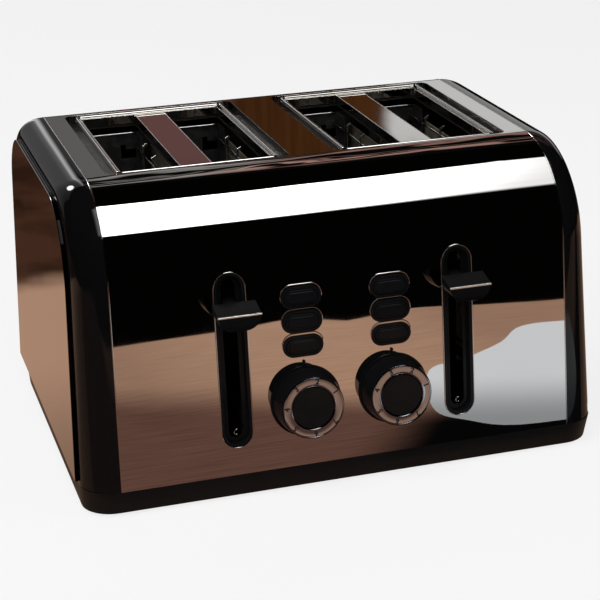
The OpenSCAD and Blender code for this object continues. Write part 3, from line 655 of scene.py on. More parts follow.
def smooth(bm, angle):
    """Smooth faces, with sharp edges where they turn by more than an angle"""
    limit = math.radians(angle)
    for face in bm.faces:
        face.smooth = True
    for edge in bm.edges:
        edge.smooth = len(edge.link_faces) == 2 and edge.calc_face_angle(math.pi) < limit


def to_mesh(bm, name, angle=None):
    """The mesh of a finished bmesh, smooth where an angle is given"""
    if angle:
        smooth(bm, angle)
    mesh = bpy.data.meshes.new(name)
    bm.to_mesh(mesh)
    bm.free()
    return mesh


def even_light(piece):
    """Keeps large flats flat beside their rounded edges"""
    even = piece.modifiers.new("Even light", "WEIGHTED_NORMAL")
    even.keep_sharp = True
    even.weight = 100


def merge(bm, distance):
    """Closes a mesh of loose triangles and joins the ones that lie flat"""
    bmesh.ops.remove_doubles(bm, verts=bm.verts, dist=distance)
    bmesh.ops.dissolve_limit(bm, angle_limit=math.radians(0.4), verts=bm.verts, edges=bm.edges)


def merged_copy(node):
    """A copy of a CAD node's mesh, closed and with whole flats"""
    bm = bmesh.new()
    bm.from_mesh(frame["nodes"][node].data)
    merge(bm, 0.002 * MM)
    return bm


def dressed(node, surface, offset, segments=2, angle=40.0):
    """A copy of a CAD node with its hard edges rounded"""
    bm = merged_copy(node)
    limit = math.radians(angle)
    hard = [edge for edge in bm.edges if len(edge.link_faces) == 2 and edge.calc_face_angle(0.0) > limit]
    bmesh.ops.bevel(
        bm,
        geom=hard,
        offset=offset,
        offset_type="OFFSET",
        affect="EDGES",
        segments=segments,
        profile=0.5,
        material=-1,
        clamp_overlap=True,
    )
    even_light(instead(bm, node, "dressed", frame["nodes"][node]["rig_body"], surface))


def carried(node, surface):
    """Gives a CAD node that stays its procedural finish"""
    item = frame["nodes"][node]
    if not item.material_slots:
        item.data.materials.append(finish(surface))
    for slot in item.material_slots:
        slot.material = finish(surface)


def mesh_of(curve):
    """The mesh of a curve or a text, in its place"""
    holder = bpy.data.objects.new(curve.name, curve)
    mesh = bpy.data.meshes.new_from_object(holder)
    bpy.data.objects.remove(holder)
    bpy.data.curves.remove(curve)
    return mesh


def tube(name, paths, radius, surface, closed=False, segments=3):
    """Round wire along one or more paths, fixed to the body"""
    curve = bpy.data.curves.new(name, "CURVE")
    curve.dimensions = "3D"
    curve.bevel_depth = radius
    curve.bevel_resolution = segments
    curve.use_fill_caps = True
    for path in paths:
        spline = curve.splines.new("POLY")
        spline.points.add(len(path) - 1)
        for point, spot in zip(spline.points, path):
            point.co = (*spot, 1.0)
        spline.use_cyclic_u = closed
    mesh = mesh_of(curve)
    for face in mesh.polygons:
        face.use_smooth = True
    own(mesh, name, "body", surface)


def wall_y(z):
    """Where the leaning front wall stands at a height"""
    return FRONT_Y + (z - WRAP_Z) * math.tan(LEAN)


def on_wall(x, z):
    """Axes on the leaning front wall: x to the right, y up the wall, z out of it"""
    return Matrix.Translation((x, wall_y(z), z)) @ Matrix.Rotation(math.pi / 2 - LEAN, 4, "X")


def on_dial(side):
    pivot = JOINTS["dial_" + side]["pos_m"]
    return on_wall(pivot[0], pivot[2])


def arc(centre, radius, start, end, steps):
    """Points of an arc round a centre, from one angle to another"""
    turn_by = (end - start) / steps
    angles = [start + turn_by * k for k in range(steps + 1)]
    return [(centre[0] + radius * math.cos(a), centre[1] + radius * math.sin(a)) for a in angles]


def side_outline(front_in, back_in, top_in, front_r, back_r, steps):
    """Outline of the body seen from its side, from its front foot over the top to its back foot"""
    top = TOP_Z - top_in
    back = BACK_Y - back_in
    front_z = top - front_r
    front_c = wall_y(front_z) + front_in + front_r / math.cos(LEAN)
    points = [(FRONT_Y + front_in, WRAP_Z)]
    points += arc((front_c, front_z), front_r, math.pi - LEAN, math.pi / 2, steps)
    points += arc((back - back_r, top - back_r), back_r, math.pi / 2, 0.0, steps * 3 // 4)
    return points + [(back, WRAP_Z)]


def lean_in(x, y, z, angle):
    """A point of an upright outline at x, leaning inwards above the wrap's foot"""
    rise = z - WRAP_Z
    return x - rise * math.sin(angle), y, WRAP_Z + rise * math.cos(angle)


def stadium(width, height, matrix, segments=64):
    """A closed path with straight sides and round ends"""
    radius = min(width, height) / 2
    stretch = (width / 2 - radius, height / 2 - radius)
    bm = bmesh.new()
    path = []
    for vert in bmesh.ops.create_circle(bm, cap_ends=False, segments=segments, radius=radius)["verts"]:
        for axis in (0, 1):
            if abs(vert.co[axis]) > 1e-7:
                vert.co[axis] += math.copysign(stretch[axis], vert.co[axis])
        path.append(matrix @ vert.co)
    bm.free()
    return path


def curved(points, steps=6):
    """A smooth closed outline through a few points"""
    outline = []
    corners = [Vector(point) for point in points]
    for k in range(len(corners)):
        a, b, c, d = (corners[(k + shift) % len(corners)] for shift in (-1, 0, 1, 2))
        for step in range(steps):
            t = step / steps
            bend = (a * 2 - b * 5 + c * 4 - d) * (t * t / 2)
            sway = (b * 3 - a - c * 3 + d) * (t ** 3 / 2)
            outline.append(b + (c - a) * (t / 2) + bend + sway)
    return outline


def rounded(x0, x1, y0, y1, radius, z, steps=8):
    """Points round a level rectangle with round corners"""
    left, right, near, far = x0 + radius, x1 - radius, y0 + radius, y1 - radius
    points = []
    for k, corner in enumerate(((right, far), (left, far), (left, near), (right, near))):
        start = math.pi / 2 * k
        points += [(x, y, z) for x, y in arc(corner, radius, start, math.pi / 2 * (k + 1), steps)]
    return points


def loft(bm, loops):
    """Joins closed loops of equal counts into one skin, and closes its ends"""
    for pair in zip(loops, loops[1:]):
        edges = []
        for ring in pair:
            for ends in zip(ring, ring[1:] + ring[:1]):
                edges.append(bm.edges.get(ends) or bm.edges.new(ends))
        bmesh.ops.bridge_loops(bm, edges=edges)
    for ring in (loops[0], loops[-1]):
        bmesh.ops.contextual_create(bm, geom=ring)
    bmesh.ops.recalc_face_normals(bm, faces=bm.faces)


def spun(bm, profile, steps=96):
    """A solid of revolution about z from a profile of radius and height"""
    verts = [bm.verts.new((radius, 0.0, height)) for radius, height in profile]
    edges = [bm.edges.new(pair) for pair in zip(verts, verts[1:])]
    bmesh.ops.spin(
        bm, geom=verts + edges, cent=(0, 0, 0), axis=(0, 0, 1), angle=2 * math.pi, steps=steps, use_merge=True
    )
    bmesh.ops.remove_doubles(bm, verts=bm.verts, dist=0.001 * MM)
    bmesh.ops.recalc_face_normals(bm, faces=bm.faces)


def beside(radius, height, *offsets):
    """Points of a profile at offsets in millimetres from one of its corners"""
    return [(radius + outward * MM, height + upward * MM) for outward, upward in offsets]


# ---------------------------------------------------------------- wrap


CORNER_SLACK = 0.15 * MM  # how far the CAD's facets lie off the true arc
ANGLE_SLACK = 0.002  # the same along the arc, in radians


def on_corner(vert, centre, radius, thickness, start, end):
    """Whether a point belongs to a round corner of the sheet"""
    y, z = vert.co.y - centre[0], vert.co.z - centre[1]
    reach = math.hypot(y, z)
    angle = math.atan2(z, y)
    inside = start - ANGLE_SLACK < angle < end + ANGLE_SLACK
    return inside and radius - thickness - CORNER_SLACK < reach < radius + CORNER_SLACK


def refine_corner(bm, centre, radius, thickness, start, end, steps):
    """Cuts a round corner of the sheet finer and moves the new points onto the true arc"""
    fits = (centre, radius, thickness, start, end)
    for k in range(1, steps):
        angle = start + (end - start) * k / steps
        verts = [vert for vert in bm.verts if on_corner(vert, *fits)]
        edges = [edge for edge in bm.edges if all(on_corner(vert, *fits) for vert in edge.verts)]
        faces = [face for face in bm.faces if all(on_corner(vert, *fits) for vert in face.verts)]
        bmesh.ops.bisect_plane(
            bm,
            geom=verts + edges + faces,
            dist=0.01 * MM,
            plane_co=(0.0, centre[0], centre[1]),
            plane_no=(0.0, -math.sin(angle), math.cos(angle)),
        )
    for vert in bm.verts:
        if on_corner(vert, *fits):
            y, z = vert.co.y - centre[0], vert.co.z - centre[1]
            reach = math.hypot(y, z)
            true = radius if reach > radius - thickness / 2 else radius - thickness
            if abs(true - reach) < CORNER_SLACK:
                vert.co.y = centre[0] + y * true / reach
                vert.co.z = centre[1] + z * true / reach


class TOASTER_OT_wrap(bpy.types.Operator):
    """Polished wrap with finer round corners, and the bright beads of its joints and holes"""

    bl_idname = "toaster.wrap"
    bl_label = "Wrap"

    def execute(self, context):
        s = sizes()
        bm = self.whole_sheet()
        front_z = TOP_Z - s.front_r
        front_y = wall_y(front_z) + s.front_r / math.cos(LEAN)
        refine_corner(bm, (front_y, front_z), s.front_r, s.sheet, math.pi / 2, math.pi - LEAN, 34)
        refine_corner(bm, (BACK_Y - s.back_r, TOP_Z - s.back_r), s.back_r, s.sheet, 0.0, math.pi / 2, 24)
        mesh = to_mesh(bm, "wrap_dressed", 35.0)
        even_light(own(mesh, "wrap_dressed", "body", mirror_steel, SHEETS))
        self.joint_beads(s)
        self.hole_rims(s)
        return {"FINISHED"}

    def whole_sheet(self):
        """The three parts of the sheet as one skin, without the faces that they share"""
        bm = bmesh.new()
        for node in SHEETS:
            bm.from_mesh(frame["nodes"][node].data)
        for joint in (WRAP_HIGH.y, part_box("wrap_back")[0].y):
            shared = [
                face for face in bm.faces if all(abs(vert.co.y - joint) < 0.01 * MM for vert in face.verts)
            ]
            bmesh.ops.delete(bm, geom=shared, context="FACES")
        merge(bm, 0.005 * MM)
        return bm

    def joint_beads(self, s):
        """Beads along the joints between the wrap and the end caps"""
        proud, beside_wrap = 0.25 * MM, 0.28 * MM
        inset = s.bead - proud
        outline = side_outline(inset / math.cos(LEAN), inset, inset, s.front_r - inset, s.back_r - inset, 40)
        points = [lean_in(WRAP_HIGH.x + beside_wrap, y, z, s.seam_lean) for y, z in outline]
        paths = [[(sign * x, y, z) for x, y, z in points] for sign in SIDES.values()]
        tube("joint_beads", paths, s.bead, bright_trim)

    def hole_rims(self, s):
        """Thin rims round the holes of the tracks and the buttons"""
        flange = 4 * MM
        paths = []
        for side in SIDES:
            low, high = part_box("track_insert_" + side)
            height = (high.z - low.z) / math.cos(LEAN) - 2 * flange
            middle = on_wall((low.x + high.x) / 2, (low.z + high.z) / 2)
            paths.append(stadium(s.track_width, height, middle, 96))
            for number in (1, 2, 3):
                paths.append(stadium(s.button_width, s.button_height, button_place(side, number)))
        tube("hole_rims", paths, s.bead * 0.8, bright_trim, closed=True)


# ---------------------------------------------------------------- end caps and side plates


class TOASTER_OT_end_caps(bpy.types.Operator):
    """Glossy black end caps, drawn in smoothly from the joint to the flat side"""

    bl_idname = "toaster.end_caps"
    bl_label = "End caps"

    def execute(self, context):
        for side in SIDES:
            self.cap(side)
        return {"FINISHED"}

    def cap(self, side):
        """Smooth skin from a ring at the joint to the flat side, with a wall behind it"""
        s = sizes()
        gap, steps, corner_steps = 0.6 * MM, 30, 28
        joint_x = WRAP_HIGH.x + gap
        bm = bmesh.new()
        rings = []
        for k in range(steps + 1):
            angle = math.pi / 2 * k / steps
            drawn_in = 1 - math.cos(angle)
            outline = side_outline(
                drawn_in * s.cap_front_in,
                drawn_in * s.cap_back_in,
                drawn_in * s.cap_top_in,
                s.front_r - drawn_in * s.corner_change,
                s.back_r + drawn_in * s.corner_change,
                corner_steps,
            )
            x = joint_x + (CAP_HIGH.x - joint_x) * math.sin(angle)
            lean = s.seam_lean + (s.side_lean - s.seam_lean) * math.sin(angle)
            rings.append([bm.verts.new(lean_in(x, y, z, lean)) for y, z in outline])
        for first, second in zip(rings, rings[1:]):
            for k in range(len(first) - 1):
                bm.faces.new((first[k], first[k + 1], second[k + 1], second[k]))
        bmesh.ops.contextual_create(bm, geom=rings[-1])
        bmesh.ops.recalc_face_normals(bm, faces=bm.faces)
        outer = max(bm.faces, key=lambda face: face.calc_center_median().x)
        if outer.normal.x < 0:
            bmesh.ops.reverse_faces(bm, faces=bm.faces)
        if SIDES[side] < 0:
            bmesh.ops.scale(bm, vec=(-1.0, 1.0, 1.0), verts=bm.verts)
            bmesh.ops.reverse_faces(bm, faces=bm.faces)
        piece = instead(bm, "end_cap_" + side, "skin", "body", gloss_black, 30.0)
        wall = piece.modifiers.new("Wall", "SOLIDIFY")
        wall.thickness = s.cap_wall
        wall.offset = -1.0
        even_light(piece)


class TOASTER_OT_side_panels(bpy.types.Operator):
    """Polished plates on the flat sides, with rounded rims"""

    bl_idname = "toaster.side_panels"
    bl_label = "Side plates"

    def execute(self, context):
        for side in SIDES:
            dressed("side_panel_" + side, mirror_panel, 0.45 * MM, 3, 50.0)
        return {"FINISHED"}


# ---------------------------------------------------------------- base


class TOASTER_OT_base(bpy.types.Operator):
    """Moulded base, rubber feet and screws"""

    bl_idname = "toaster.base"
    bl_label = "Base"

    def execute(self, context):
        dressed("base", black_plastic, 0.6 * MM)
        dressed("feet", rubber, 0.5 * MM)
        dressed("base_screws", steel, 0.25 * MM)
        dressed("cord_inlet", control_black, 0.4 * MM)
        return {"FINISHED"}


class TOASTER_OT_trays(bpy.types.Operator):
    """Crumb trays with their grips"""

    bl_idname = "toaster.trays"
    bl_label = "Crumb trays"

    def execute(self, context):
        for side in SIDES:
            dressed("crumb_tray_" + side, tray_steel, 0.35 * MM)
        return {"FINISHED"}


# ---------------------------------------------------------------- slots


class TOASTER_OT_slots(bpy.types.Operator):
    """Slot frames with rolled rims, and the dark pans round them"""

    bl_idname = "toaster.slots"
    bl_label = "Slot frames"

    def execute(self, context):
        for side in SIDES:
            carried("slot_frame_" + side, bright_frame)
            carried("slot_pan_" + side, sooted)
            self.rims(side)
        return {"FINISHED"}

    def rims(self, side):
        """Rolled rim of the frame, edges of its slots and the pocket, and the bulkhead's top edge"""
        s = sizes()
        node = "slot_frame_" + side
        low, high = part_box(node)
        pan_low, pan_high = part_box("slot_pan_" + side)
        frame_corner, slot_corner, pocket_corner = 3 * MM, 2.4 * MM, 6 * MM
        behind_slot = 0.4 * MM
        r = s.rolled
        outline = rounded(low.x + r, high.x - r, low.y + r, high.y - r, frame_corner, TOP_Z - r)
        tube(node + "_rim", [outline], r, bright_frame, closed=True, segments=4)
        r = s.bead
        front, back = low.y + s.slot_rim_end, high.y - s.slot_rim_end
        plate_y, plate_z = back + behind_slot, TOP_Z - s.bulkhead_drop
        slots, plates = [], []
        for x in (low.x + s.slot_rim, high.x - s.slot_rim - s.slot_width):
            right = x + s.slot_width
            slots.append(rounded(x - r, right + r, front - r, back + r, slot_corner, high.z - 0.7 * r))
            plates.append([(x + k * s.slot_width, plate_y, plate_z) for k in (0.01, 0.99)])
        tube(node + "_edges", slots, r, bright_frame, closed=True)
        tube(f"bulkhead_edge_{side}", plates, r, bright_trim)
        x0, x1, y0, y1 = pan_low.x - r, pan_high.x + r, pan_low.y - r, pan_high.y + r
        pocket = rounded(x0, x1, y0, y1, pocket_corner, TOP_Z - r)
        tube(f"pocket_edge_{side}", [pocket], r, bright_trim, closed=True)


class TOASTER_OT_guards(bpy.types.Operator):
    """Finish of the bread guards: upright wires with bent tops on each side of every slot"""

    bl_idname = "toaster.guards"
    bl_label = "Bread guards"

    def execute(self, context):
        for side in SIDES:
            carried("bread_guards_" + side, guard_wire)
        return {"FINISHED"}


class TOASTER_OT_inside(bpy.types.Operator):
    """Finishes of everything inside: plates, heaters, lift, magnets and boards"""

    bl_idname = "toaster.inside"
    bl_label = "Inside"

    def execute(self, context):
        for node in ("front_bulkhead", "rear_bulkhead"):
            dressed(node, galvanised, 0.25 * MM, angle=60.0)
        for side in SIDES:
            for row in ("outer", "middle", "inner"):
                carried(f"heater_{side}_{row}", mica)
            for kind, surface in (
                ("carriage", dark_steel),
                ("guide_rod", steel),
                ("latch_magnet", copper),
                ("control_board", board_green),
                ("dial_pot", steel),
                ("dial_shaft", steel),
            ):
                carried(f"{kind}_{side}", surface)
            self.spring(side)
            dressed("button_guide_" + side, control_black, 0.35 * MM, 3, 50.0)
        return {"FINISHED"}

    def spring(self, side):
        """Lift spring, as a copy of its CAD node fixed to the body; on the real toaster it closes up as its
        carriage goes down
        """
        node = "lift_spring_" + side
        piece = instead(merged_copy(node), node, "wound", "body", steel)
        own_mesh(piece)


# ---------------------------------------------------------------- controls


def button_place(side, number):
    """Axes of a push button on the wall, at the middle of its hole"""
    low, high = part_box(f"button_{side}_{number}")
    border, proud = 2.2 * MM, 1.8 * MM
    half = sizes().button_height / 2 - border
    return on_wall((low.x + high.x) / 2, high.z - half * math.cos(LEAN) - proud * math.sin(LEAN))


class TOASTER_OT_levers(bpy.types.Operator):
    """Levers, the black liners of their tracks and the hooks at their lower ends"""

    bl_idname = "toaster.levers"
    bl_label = "Levers"

    def execute(self, context):
        for side in SIDES:
            dressed("lever_" + side, lever_black, 0.7 * MM, 4, 30.0)
            dressed("track_insert_" + side, control_black, 0.3 * MM)
            self.hook(side)
        return {"FINISHED"}

    def hook(self, side):
        """Small wire hook at the bottom of the track"""
        low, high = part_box("track_insert_" + side)
        above_end, depth = 13 * MM, 2.9 * MM
        bend_r, wire_r = 1.5 * MM, 0.4 * MM
        matrix = on_wall((low.x + high.x) / 2, low.z + above_end)
        bend = arc((0, 0), bend_r, math.radians(75), math.radians(290), 14)
        path = [matrix @ Vector((x, y, -depth)) for x, y in bend]
        tube("track_hook_" + side, [path], wire_r, bright_trim)


class TOASTER_OT_buttons(bpy.types.Operator):
    """Oval push buttons with raised pads"""

    bl_idname = "toaster.buttons"
    bl_label = "Push buttons"

    def execute(self, context):
        for side in SIDES:
            for number in (1, 2, 3):
                dressed(f"button_{side}_{number}", control_black, 0.55 * MM, 4, 50.0)
        return {"FINISHED"}


class TOASTER_OT_dials(bpy.types.Operator):
    """Browning dials: bezel with its pointer, conical body, bright numbered ring and black middle"""

    bl_idname = "toaster.dials"
    bl_label = "Dials"

    def execute(self, context):
        for side in SIDES:
            self.bezel(side)
            self.knob(side)
            self.ring(side)
            self.numbers(side)
        return {"FINISHED"}

    def fit(self, bm, side, kind, body, surface, angle=30.0):
        """Moves a finished mesh to its place on the wall, where its CAD node is"""
        bmesh.ops.transform(bm, matrix=on_dial(side), verts=bm.verts)
        even_light(instead(bm, f"dial_{kind}_{side}", "fine", body, surface, angle))

    def bezel(self, side):
        """Flat ring with a raised pointer and a dot above it"""
        rim = sizes().bezel_r
        bore, thick = 4.6 * MM, 1.2 * MM
        bm = bmesh.new()
        edge = beside(rim, 0.0, (-0.3, 0.0), (0.0, 0.3), (0.0, 0.7), (-0.15, 1.05))
        spun(bm, [(bore, 0.0), *edge, (rim - 0.5 * MM, thick), (bore, thick), (bore, 0.0)])
        pointer = ((-2.2, -0.8), (2.2, -0.8), (0.35, 1.7), (-0.35, 1.7))
        loops = []
        for z, spread in ((0.0, MM), (1.0 * MM, MM), (thick, 0.85 * MM)):
            loops.append([bm.verts.new((x * spread, rim + y * spread, z)) for x, y in pointer])
        loft(bm, loops)
        dot = bmesh.ops.create_uvsphere(bm, u_segments=20, v_segments=12, radius=0.95 * MM)["verts"]
        bmesh.ops.translate(bm, vec=(0.0, rim + 2.4 * MM, 0.5 * MM), verts=dot)
        self.fit(bm, side, "bezel", "body", control_black)

    def knob(self, side):
        """Conical knob with a channel for the ring round its black middle"""
        s = sizes()
        middle, face, top, foot = s.dial_middle_r, s.dial_face_r, s.dial_height, 1.5 * MM
        bore, depth = 4.5 * MM, 4 * MM
        bm = bmesh.new()
        spun(bm, [
            (0.0, top - 0.7 * MM),
            *beside(middle, top, (-0.9, -0.7), (-0.5, -0.6), (-0.2, -0.9), (-0.2, -2.0)),
            *beside(face, top, (-0.7, -2.0), (-0.6, -0.5), (-0.2, -0.5), (0.05, -0.9)),
            *beside(face, foot, (1.3, 2.4), (1.6, 1.6), (1.6, 0.2), (1.4, 0.0)),
            (bore, foot),
            (bore, foot + depth),
            (0.0, foot + depth),
        ])
        self.fit(bm, side, "knob", "dial_" + side, control_black)

    def ring(self, side):
        """Bright ring with a raised lip at each edge"""
        s = sizes()
        inner, outer, top = s.dial_middle_r, s.dial_face_r - 0.45 * MM, s.dial_height
        start = (-0.1, -1.6)
        bm = bmesh.new()
        spun(bm, [
            *beside(inner, top, start, (-0.1, -0.3), (0.15, 0.0), (0.45, 0.05), (0.8, -0.25)),
            *beside(outer, top, (-0.9, -0.25), (-0.55, 0.1), (-0.2, 0.05), (0.0, -0.3), (0.0, -1.6)),
            *beside(inner, top, start),
        ])
        self.fit(bm, side, "ring", "dial_" + side, dial_mirror, 50.0)

    def numbers(self, side):
        """The numbers 1 to 7, upright where they point outwards"""
        s = sizes()
        inwards, sunk = 0.1 * MM, 0.22 * MM
        radius = (s.dial_face_r + s.dial_middle_r) / 2 - inwards
        offset = Matrix.Translation((0, radius, s.dial_height - sunk))
        bm = bmesh.new()
        for number in range(1, 8):
            turned = math.radians(TWO_AT[side] - NUMBER_STEP * (number - 2))
            text = bpy.data.curves.new("number", "FONT")
            text.body = str(number)
            text.size = s.numeral
            text.align_x = "CENTER"
            text.align_y = "CENTER"
            text.extrude = 0.05 * MM
            text.offset = 0.2 * MM
            text.resolution_u = 4
            mesh = mesh_of(text)
            mesh.transform(on_dial(side) @ Matrix.Rotation(-turned, 4, "Z") @ offset)
            bm.from_mesh(mesh)
            bpy.data.meshes.remove(mesh)
        name = "dial_numbers_" + side
        own(to_mesh(bm, name, 35.0), name, "dial_" + side, number_paint)


# ---------------------------------------------------------------- stage


def card(name, corners, surface):
    """A flat card that only polished surfaces see"""
    bm = bmesh.new()
    bm.faces.new([bm.verts.new(corner) for corner in corners])
    item = linked(name, to_mesh(bm, name))
    item.data.materials.append(surface)
    item.visible_camera = False
    item.visible_diffuse = False
    item.visible_shadow = False
    item.visible_transmission = False


def upright(start, end, low, high):
    """Corners of an upright rectangle over a line on the floor"""
    return [(*start, low), (*end, low), (*end, high), (*start, high)]


def level(outline, z):
    """Corners of a level outline at a height"""
    return [(x, y, z) for x, y in outline]


class TOASTER_OT_stage(bpy.types.Operator):
    """Floor, world, lamps, cards and camera"""

    bl_idname = "toaster.stage"
    bl_label = "Stage"

    def execute(self, context):
        stage = context.scene.toaster_stage
        self.floor()
        self.world(context)
        for name, spot, size, power in (
            ("key", (-0.7, -0.7, 1.7), 1.2, stage.key),
            ("fill", (1.4, -0.9, 1.0), 1.0, stage.fill),
            ("rear", (-0.4, 1.5, 1.4), 1.2, stage.rear),
        ):
            self.lamp(name, spot, size, power)
        self.room()
        self.cards(stage)
        self.camera(context)
        context.scene.view_settings.view_transform = "Standard"
        return {"FINISHED"}

    def floor(self):
        """Pale floor that keeps the toaster's shadow"""
        bm = bmesh.new()
        bmesh.ops.create_grid(bm, x_segments=8, y_segments=8, size=4.0)
        item = linked("floor", to_mesh(bm, "floor"))
        f = material("floor")
        paper = f.add("ShaderNodeBsdfDiffuse", {"Color": f.mix(f.noise(0.4, 2.0), grey(0.84), grey(0.87))})
        seen = f.add("ShaderNodeLightPath", output="Is Camera Ray")
        white = f.glow(grey(1.0), 1.0)
        item.data.materials.append(f.out(f.add("ShaderNodeMixShader", {0: seen * 0.82, 1: paper, 2: white})))

    def world(self, context):
        """White where the camera looks past the toaster, and no light from it"""
        world = bpy.data.worlds.new("studio")
        context.scene.world = world
        f = Finish(world)
        seen = f.add("ShaderNodeLightPath", output="Is Camera Ray")
        glow = f.add("ShaderNodeBackground", {"Color": grey(1.0), "Strength": seen})
        f.out(glow, "ShaderNodeOutputWorld")

    def lamp(self, name, spot, size, power):
        """A square lamp that points at the toaster and isn't seen itself"""
        target = Vector((0, 0, 0.1))
        data = bpy.data.lights.new(name, "AREA")
        data.shape = "SQUARE"
        data.size = size
        data.energy = power
        item = linked(name, data)
        item.location = spot
        item.rotation_euler = (target - Vector(spot)).to_track_quat("-Z", "Y").to_euler()
        item.visible_glossy = False
        item.visible_camera = False

    def room(self):
        """Dark walls all round, for the polished sheet to mirror"""
        f = material("dark_room")
        dark = f.shining((0.0009, 0.0008, 0.0007))
        half, high, above_floor = 3.0, 3.2, 0.5 * MM
        square = [(-half, -half), (half, -half), (half, half), (-half, half)]
        for name, start, end in (("front", 0, 1), ("left", 0, 3), ("right", 1, 2), ("back", 3, 2)):
            card("room_" + name, upright(square[start], square[end], 0, high), dark)
        for name, z in (("top", high), ("floor", above_floor)):
            card("room_" + name, level(square, z), dark)

    def cards(self, stage):
        """Lights and furniture that the polished sheet mirrors"""
        near, back_y, left_x = -0.945, 1.5, -1.6
        box_z, table_z, plate_z = 1.5, 1 * MM, 2 * MM
        box = (
            (-0.30, -0.90), (0.08, near), (0.90, near), (0.86, 0.0), (0.74, 0.10), (0.66, 0.16),
            (0.55, 0.13), (0.42, 0.065), (0.30, 0.05), (0.08, 0.05), (-0.30, 0.0),
        )
        card("softbox", level(box, box_z), self.softbox(near, stage.softbox))
        light, radius = (-0.70, 1.30), 0.25
        disc = [(x, back_y - 0.01, z) for x, z in arc(light, radius, 0, math.tau, 24)[:-1]]
        card("corner_light", disc, self.corner_light(*light, radius, stage.corner))
        card("table", level(((-1.2, -0.71), (1.2, -0.48), (1.2, 1.4), (-1.2, 1.4)), table_z), self.table())
        card("back_wall", upright((0.0, back_y), (2.0, back_y), 0.3, 2.3), self.wall())
        card("left_wall", upright((left_x, back_y), (0.0, back_y), 0.1, 1.6), self.left_wall(left_x))
        plate = (
            (0.103, -0.254), (0.110, -0.21), (0.15, -0.176), (0.30, -0.185), (0.38, -0.28), (0.38, -0.42),
            (0.30, -0.462), (0.258, -0.459), (0.221, -0.413), (0.18, -0.382), (0.141, -0.36),
        )
        card("plate", curved(level(plate, plate_z)), self.plate())

    def corner_light(self, light_x, light_z, radius, strength):
        """Round lamp that fades towards its edge"""
        f = material("corner_light")
        x, z = f.axes("XZ")
        side, rise = x - light_x, z - light_z
        fade = 1 - f.steps(side * side + rise * rise, (0.4 * radius) ** 2, radius ** 2)
        return f.shining(grey(1.0), fade * strength)

    def softbox(self, near, strength):
        """Overhead light that fades out at its left end and along its near edge"""
        f = material("softbox")
        x, y = f.axes("XY")
        cloth = f.noise(0.5, 2.0) * 0.15 + 0.9
        near_edge = f.steps(y, near, near + 0.085) * 0.86 + 0.14
        fade = f.steps(x, -0.28, 0.06) * (1 - f.steps(x, 0.3, 0.8) * 0.74)
        return f.shining(grey(1.0), fade * cloth * near_edge * strength)

    def table(self):
        """Glowing card of the table's wood tone, with painted light and shade: lit brightest round one spot,
        darker in the toaster's own shade, near black in the plate's painted shadow, and darker far behind it
        """
        f = material("table")
        base = shade_of("table")
        x, y = f.axes("XY")
        bright_x, bright_reach, front_wall_y = 0.09, 0.15, -0.12
        grain = f.noise(0.02, 6.0, (0.4, 6.0, 1.0))
        cloud = f.noise(0.12, 3.0)
        streaks = f.steps(grain, 0.3, 0.7)
        # Painted light: the wood is brightest at bright_x and darker to each side of it
        off = (x - bright_x) / bright_reach
        aside = f.math("MINIMUM", off * off, 1.0) * 0.34
        wood = f.toned(streaks, base, 0.9, 1.08)
        wood = f.mix(aside, wood, (base[0] * 0.3, base[1] * 0.28, base[2] * 0.28))
        near = f.steps(y - x * 0.75 + cloud * 0.05, -0.385, -0.265)
        shaded = f.mix(near, wood, f.mix(streaks, (0.108, 0.053, 0.039), (0.146, 0.073, 0.054)))
        # Painted shadow of the plate: near black on the table just beside it
        corner = f.steps(x + y * 0.6, -0.095, -0.03) * f.steps(y, -0.29, -0.21)
        shaded = f.mix(corner, shaded, grey(0.002))
        # Painted light and shade beside and behind the toaster: darker towards its front, lighter further
        # back, then dark far behind where the light falls off
        beyond = f.steps(y + cloud * 0.12, 0.345, 0.405)
        behind = f.toned(f.steps(y, -0.06, 0.16), base, 0.55, 0.95)
        unlit_far_wood = f.mix(f.steps(cloud, 0.4, 0.6), (0.026, 0.011, 0.006), (0.06, 0.025, 0.015))
        behind = f.mix(beyond, behind, unlit_far_wood)
        return f.shining(f.mix(y > front_wall_y, shaded, behind))

    def plate(self):
        """Glowing card of pale china, with painted shade: darker towards the toaster"""
        f = material("plate")
        x, y = f.axes("XY")
        # Painted shade: the plate darkens towards the toaster
        toaster_shade = f.steps(y - x * 0.5, -0.42, -0.26)
        return f.shining(f.mix(toaster_shade, (0.70, 0.72, 0.74), (0.30, 0.31, 0.32)))

    def wall(self):
        """Dim room behind: grey, brown wood and a pale end, with glints higher up"""
        f = material("back_wall")
        x, z = f.axes("XZ")
        shadow, panel = (0.125, 0.12, 0.12), (0.125, 0.062, 0.058)
        shade = f.ramp(x / 2.0, (
            (0.0, shadow),
            (0.075, shadow),
            (0.085, panel),
            (0.165, panel),
            (0.18, (0.05, 0.018, 0.006)),
            (0.26, (0.055, 0.02, 0.006)),
            (0.295, (0.06, 0.022, 0.007)),
            (0.305, grey(0.58)),
            (1.0, grey(0.68)),
        ))
        stripes = f.noise(0.05, 4.0, (5.0, 1.0, 0.4)) * 0.9 + 0.55
        wood = f.add("ShaderNodeVectorMath", {0: shade, "Scale": stripes}, operation="SCALE")
        toned = f.mix(f.steps(x, 0.30, 0.34) * (1 - f.steps(x, 0.59, 0.61)), shade, wood)
        high = f.steps(z, 0.645, 0.69)
        waved = z + f.noise(0.28, 2.0, (1.0, 1.0, 0.4)) * 0.9
        lines = f.add("ShaderNodeTexNoise", {"W": waved, "Scale": 3.4, "Detail": 2.0}, noise_dimensions="1D")
        streaks = f.steps(lines, 0.5, 0.64) * (1 - f.steps(z, 1.6, 2.1))
        tone = f.mix(f.steps(x, 0.35, 0.55), (0.42, 0.40, 0.39), (0.42, 0.24, 0.20))
        return f.shining(f.mix(high, toned, f.mix(streaks, grey(0.003), tone)))

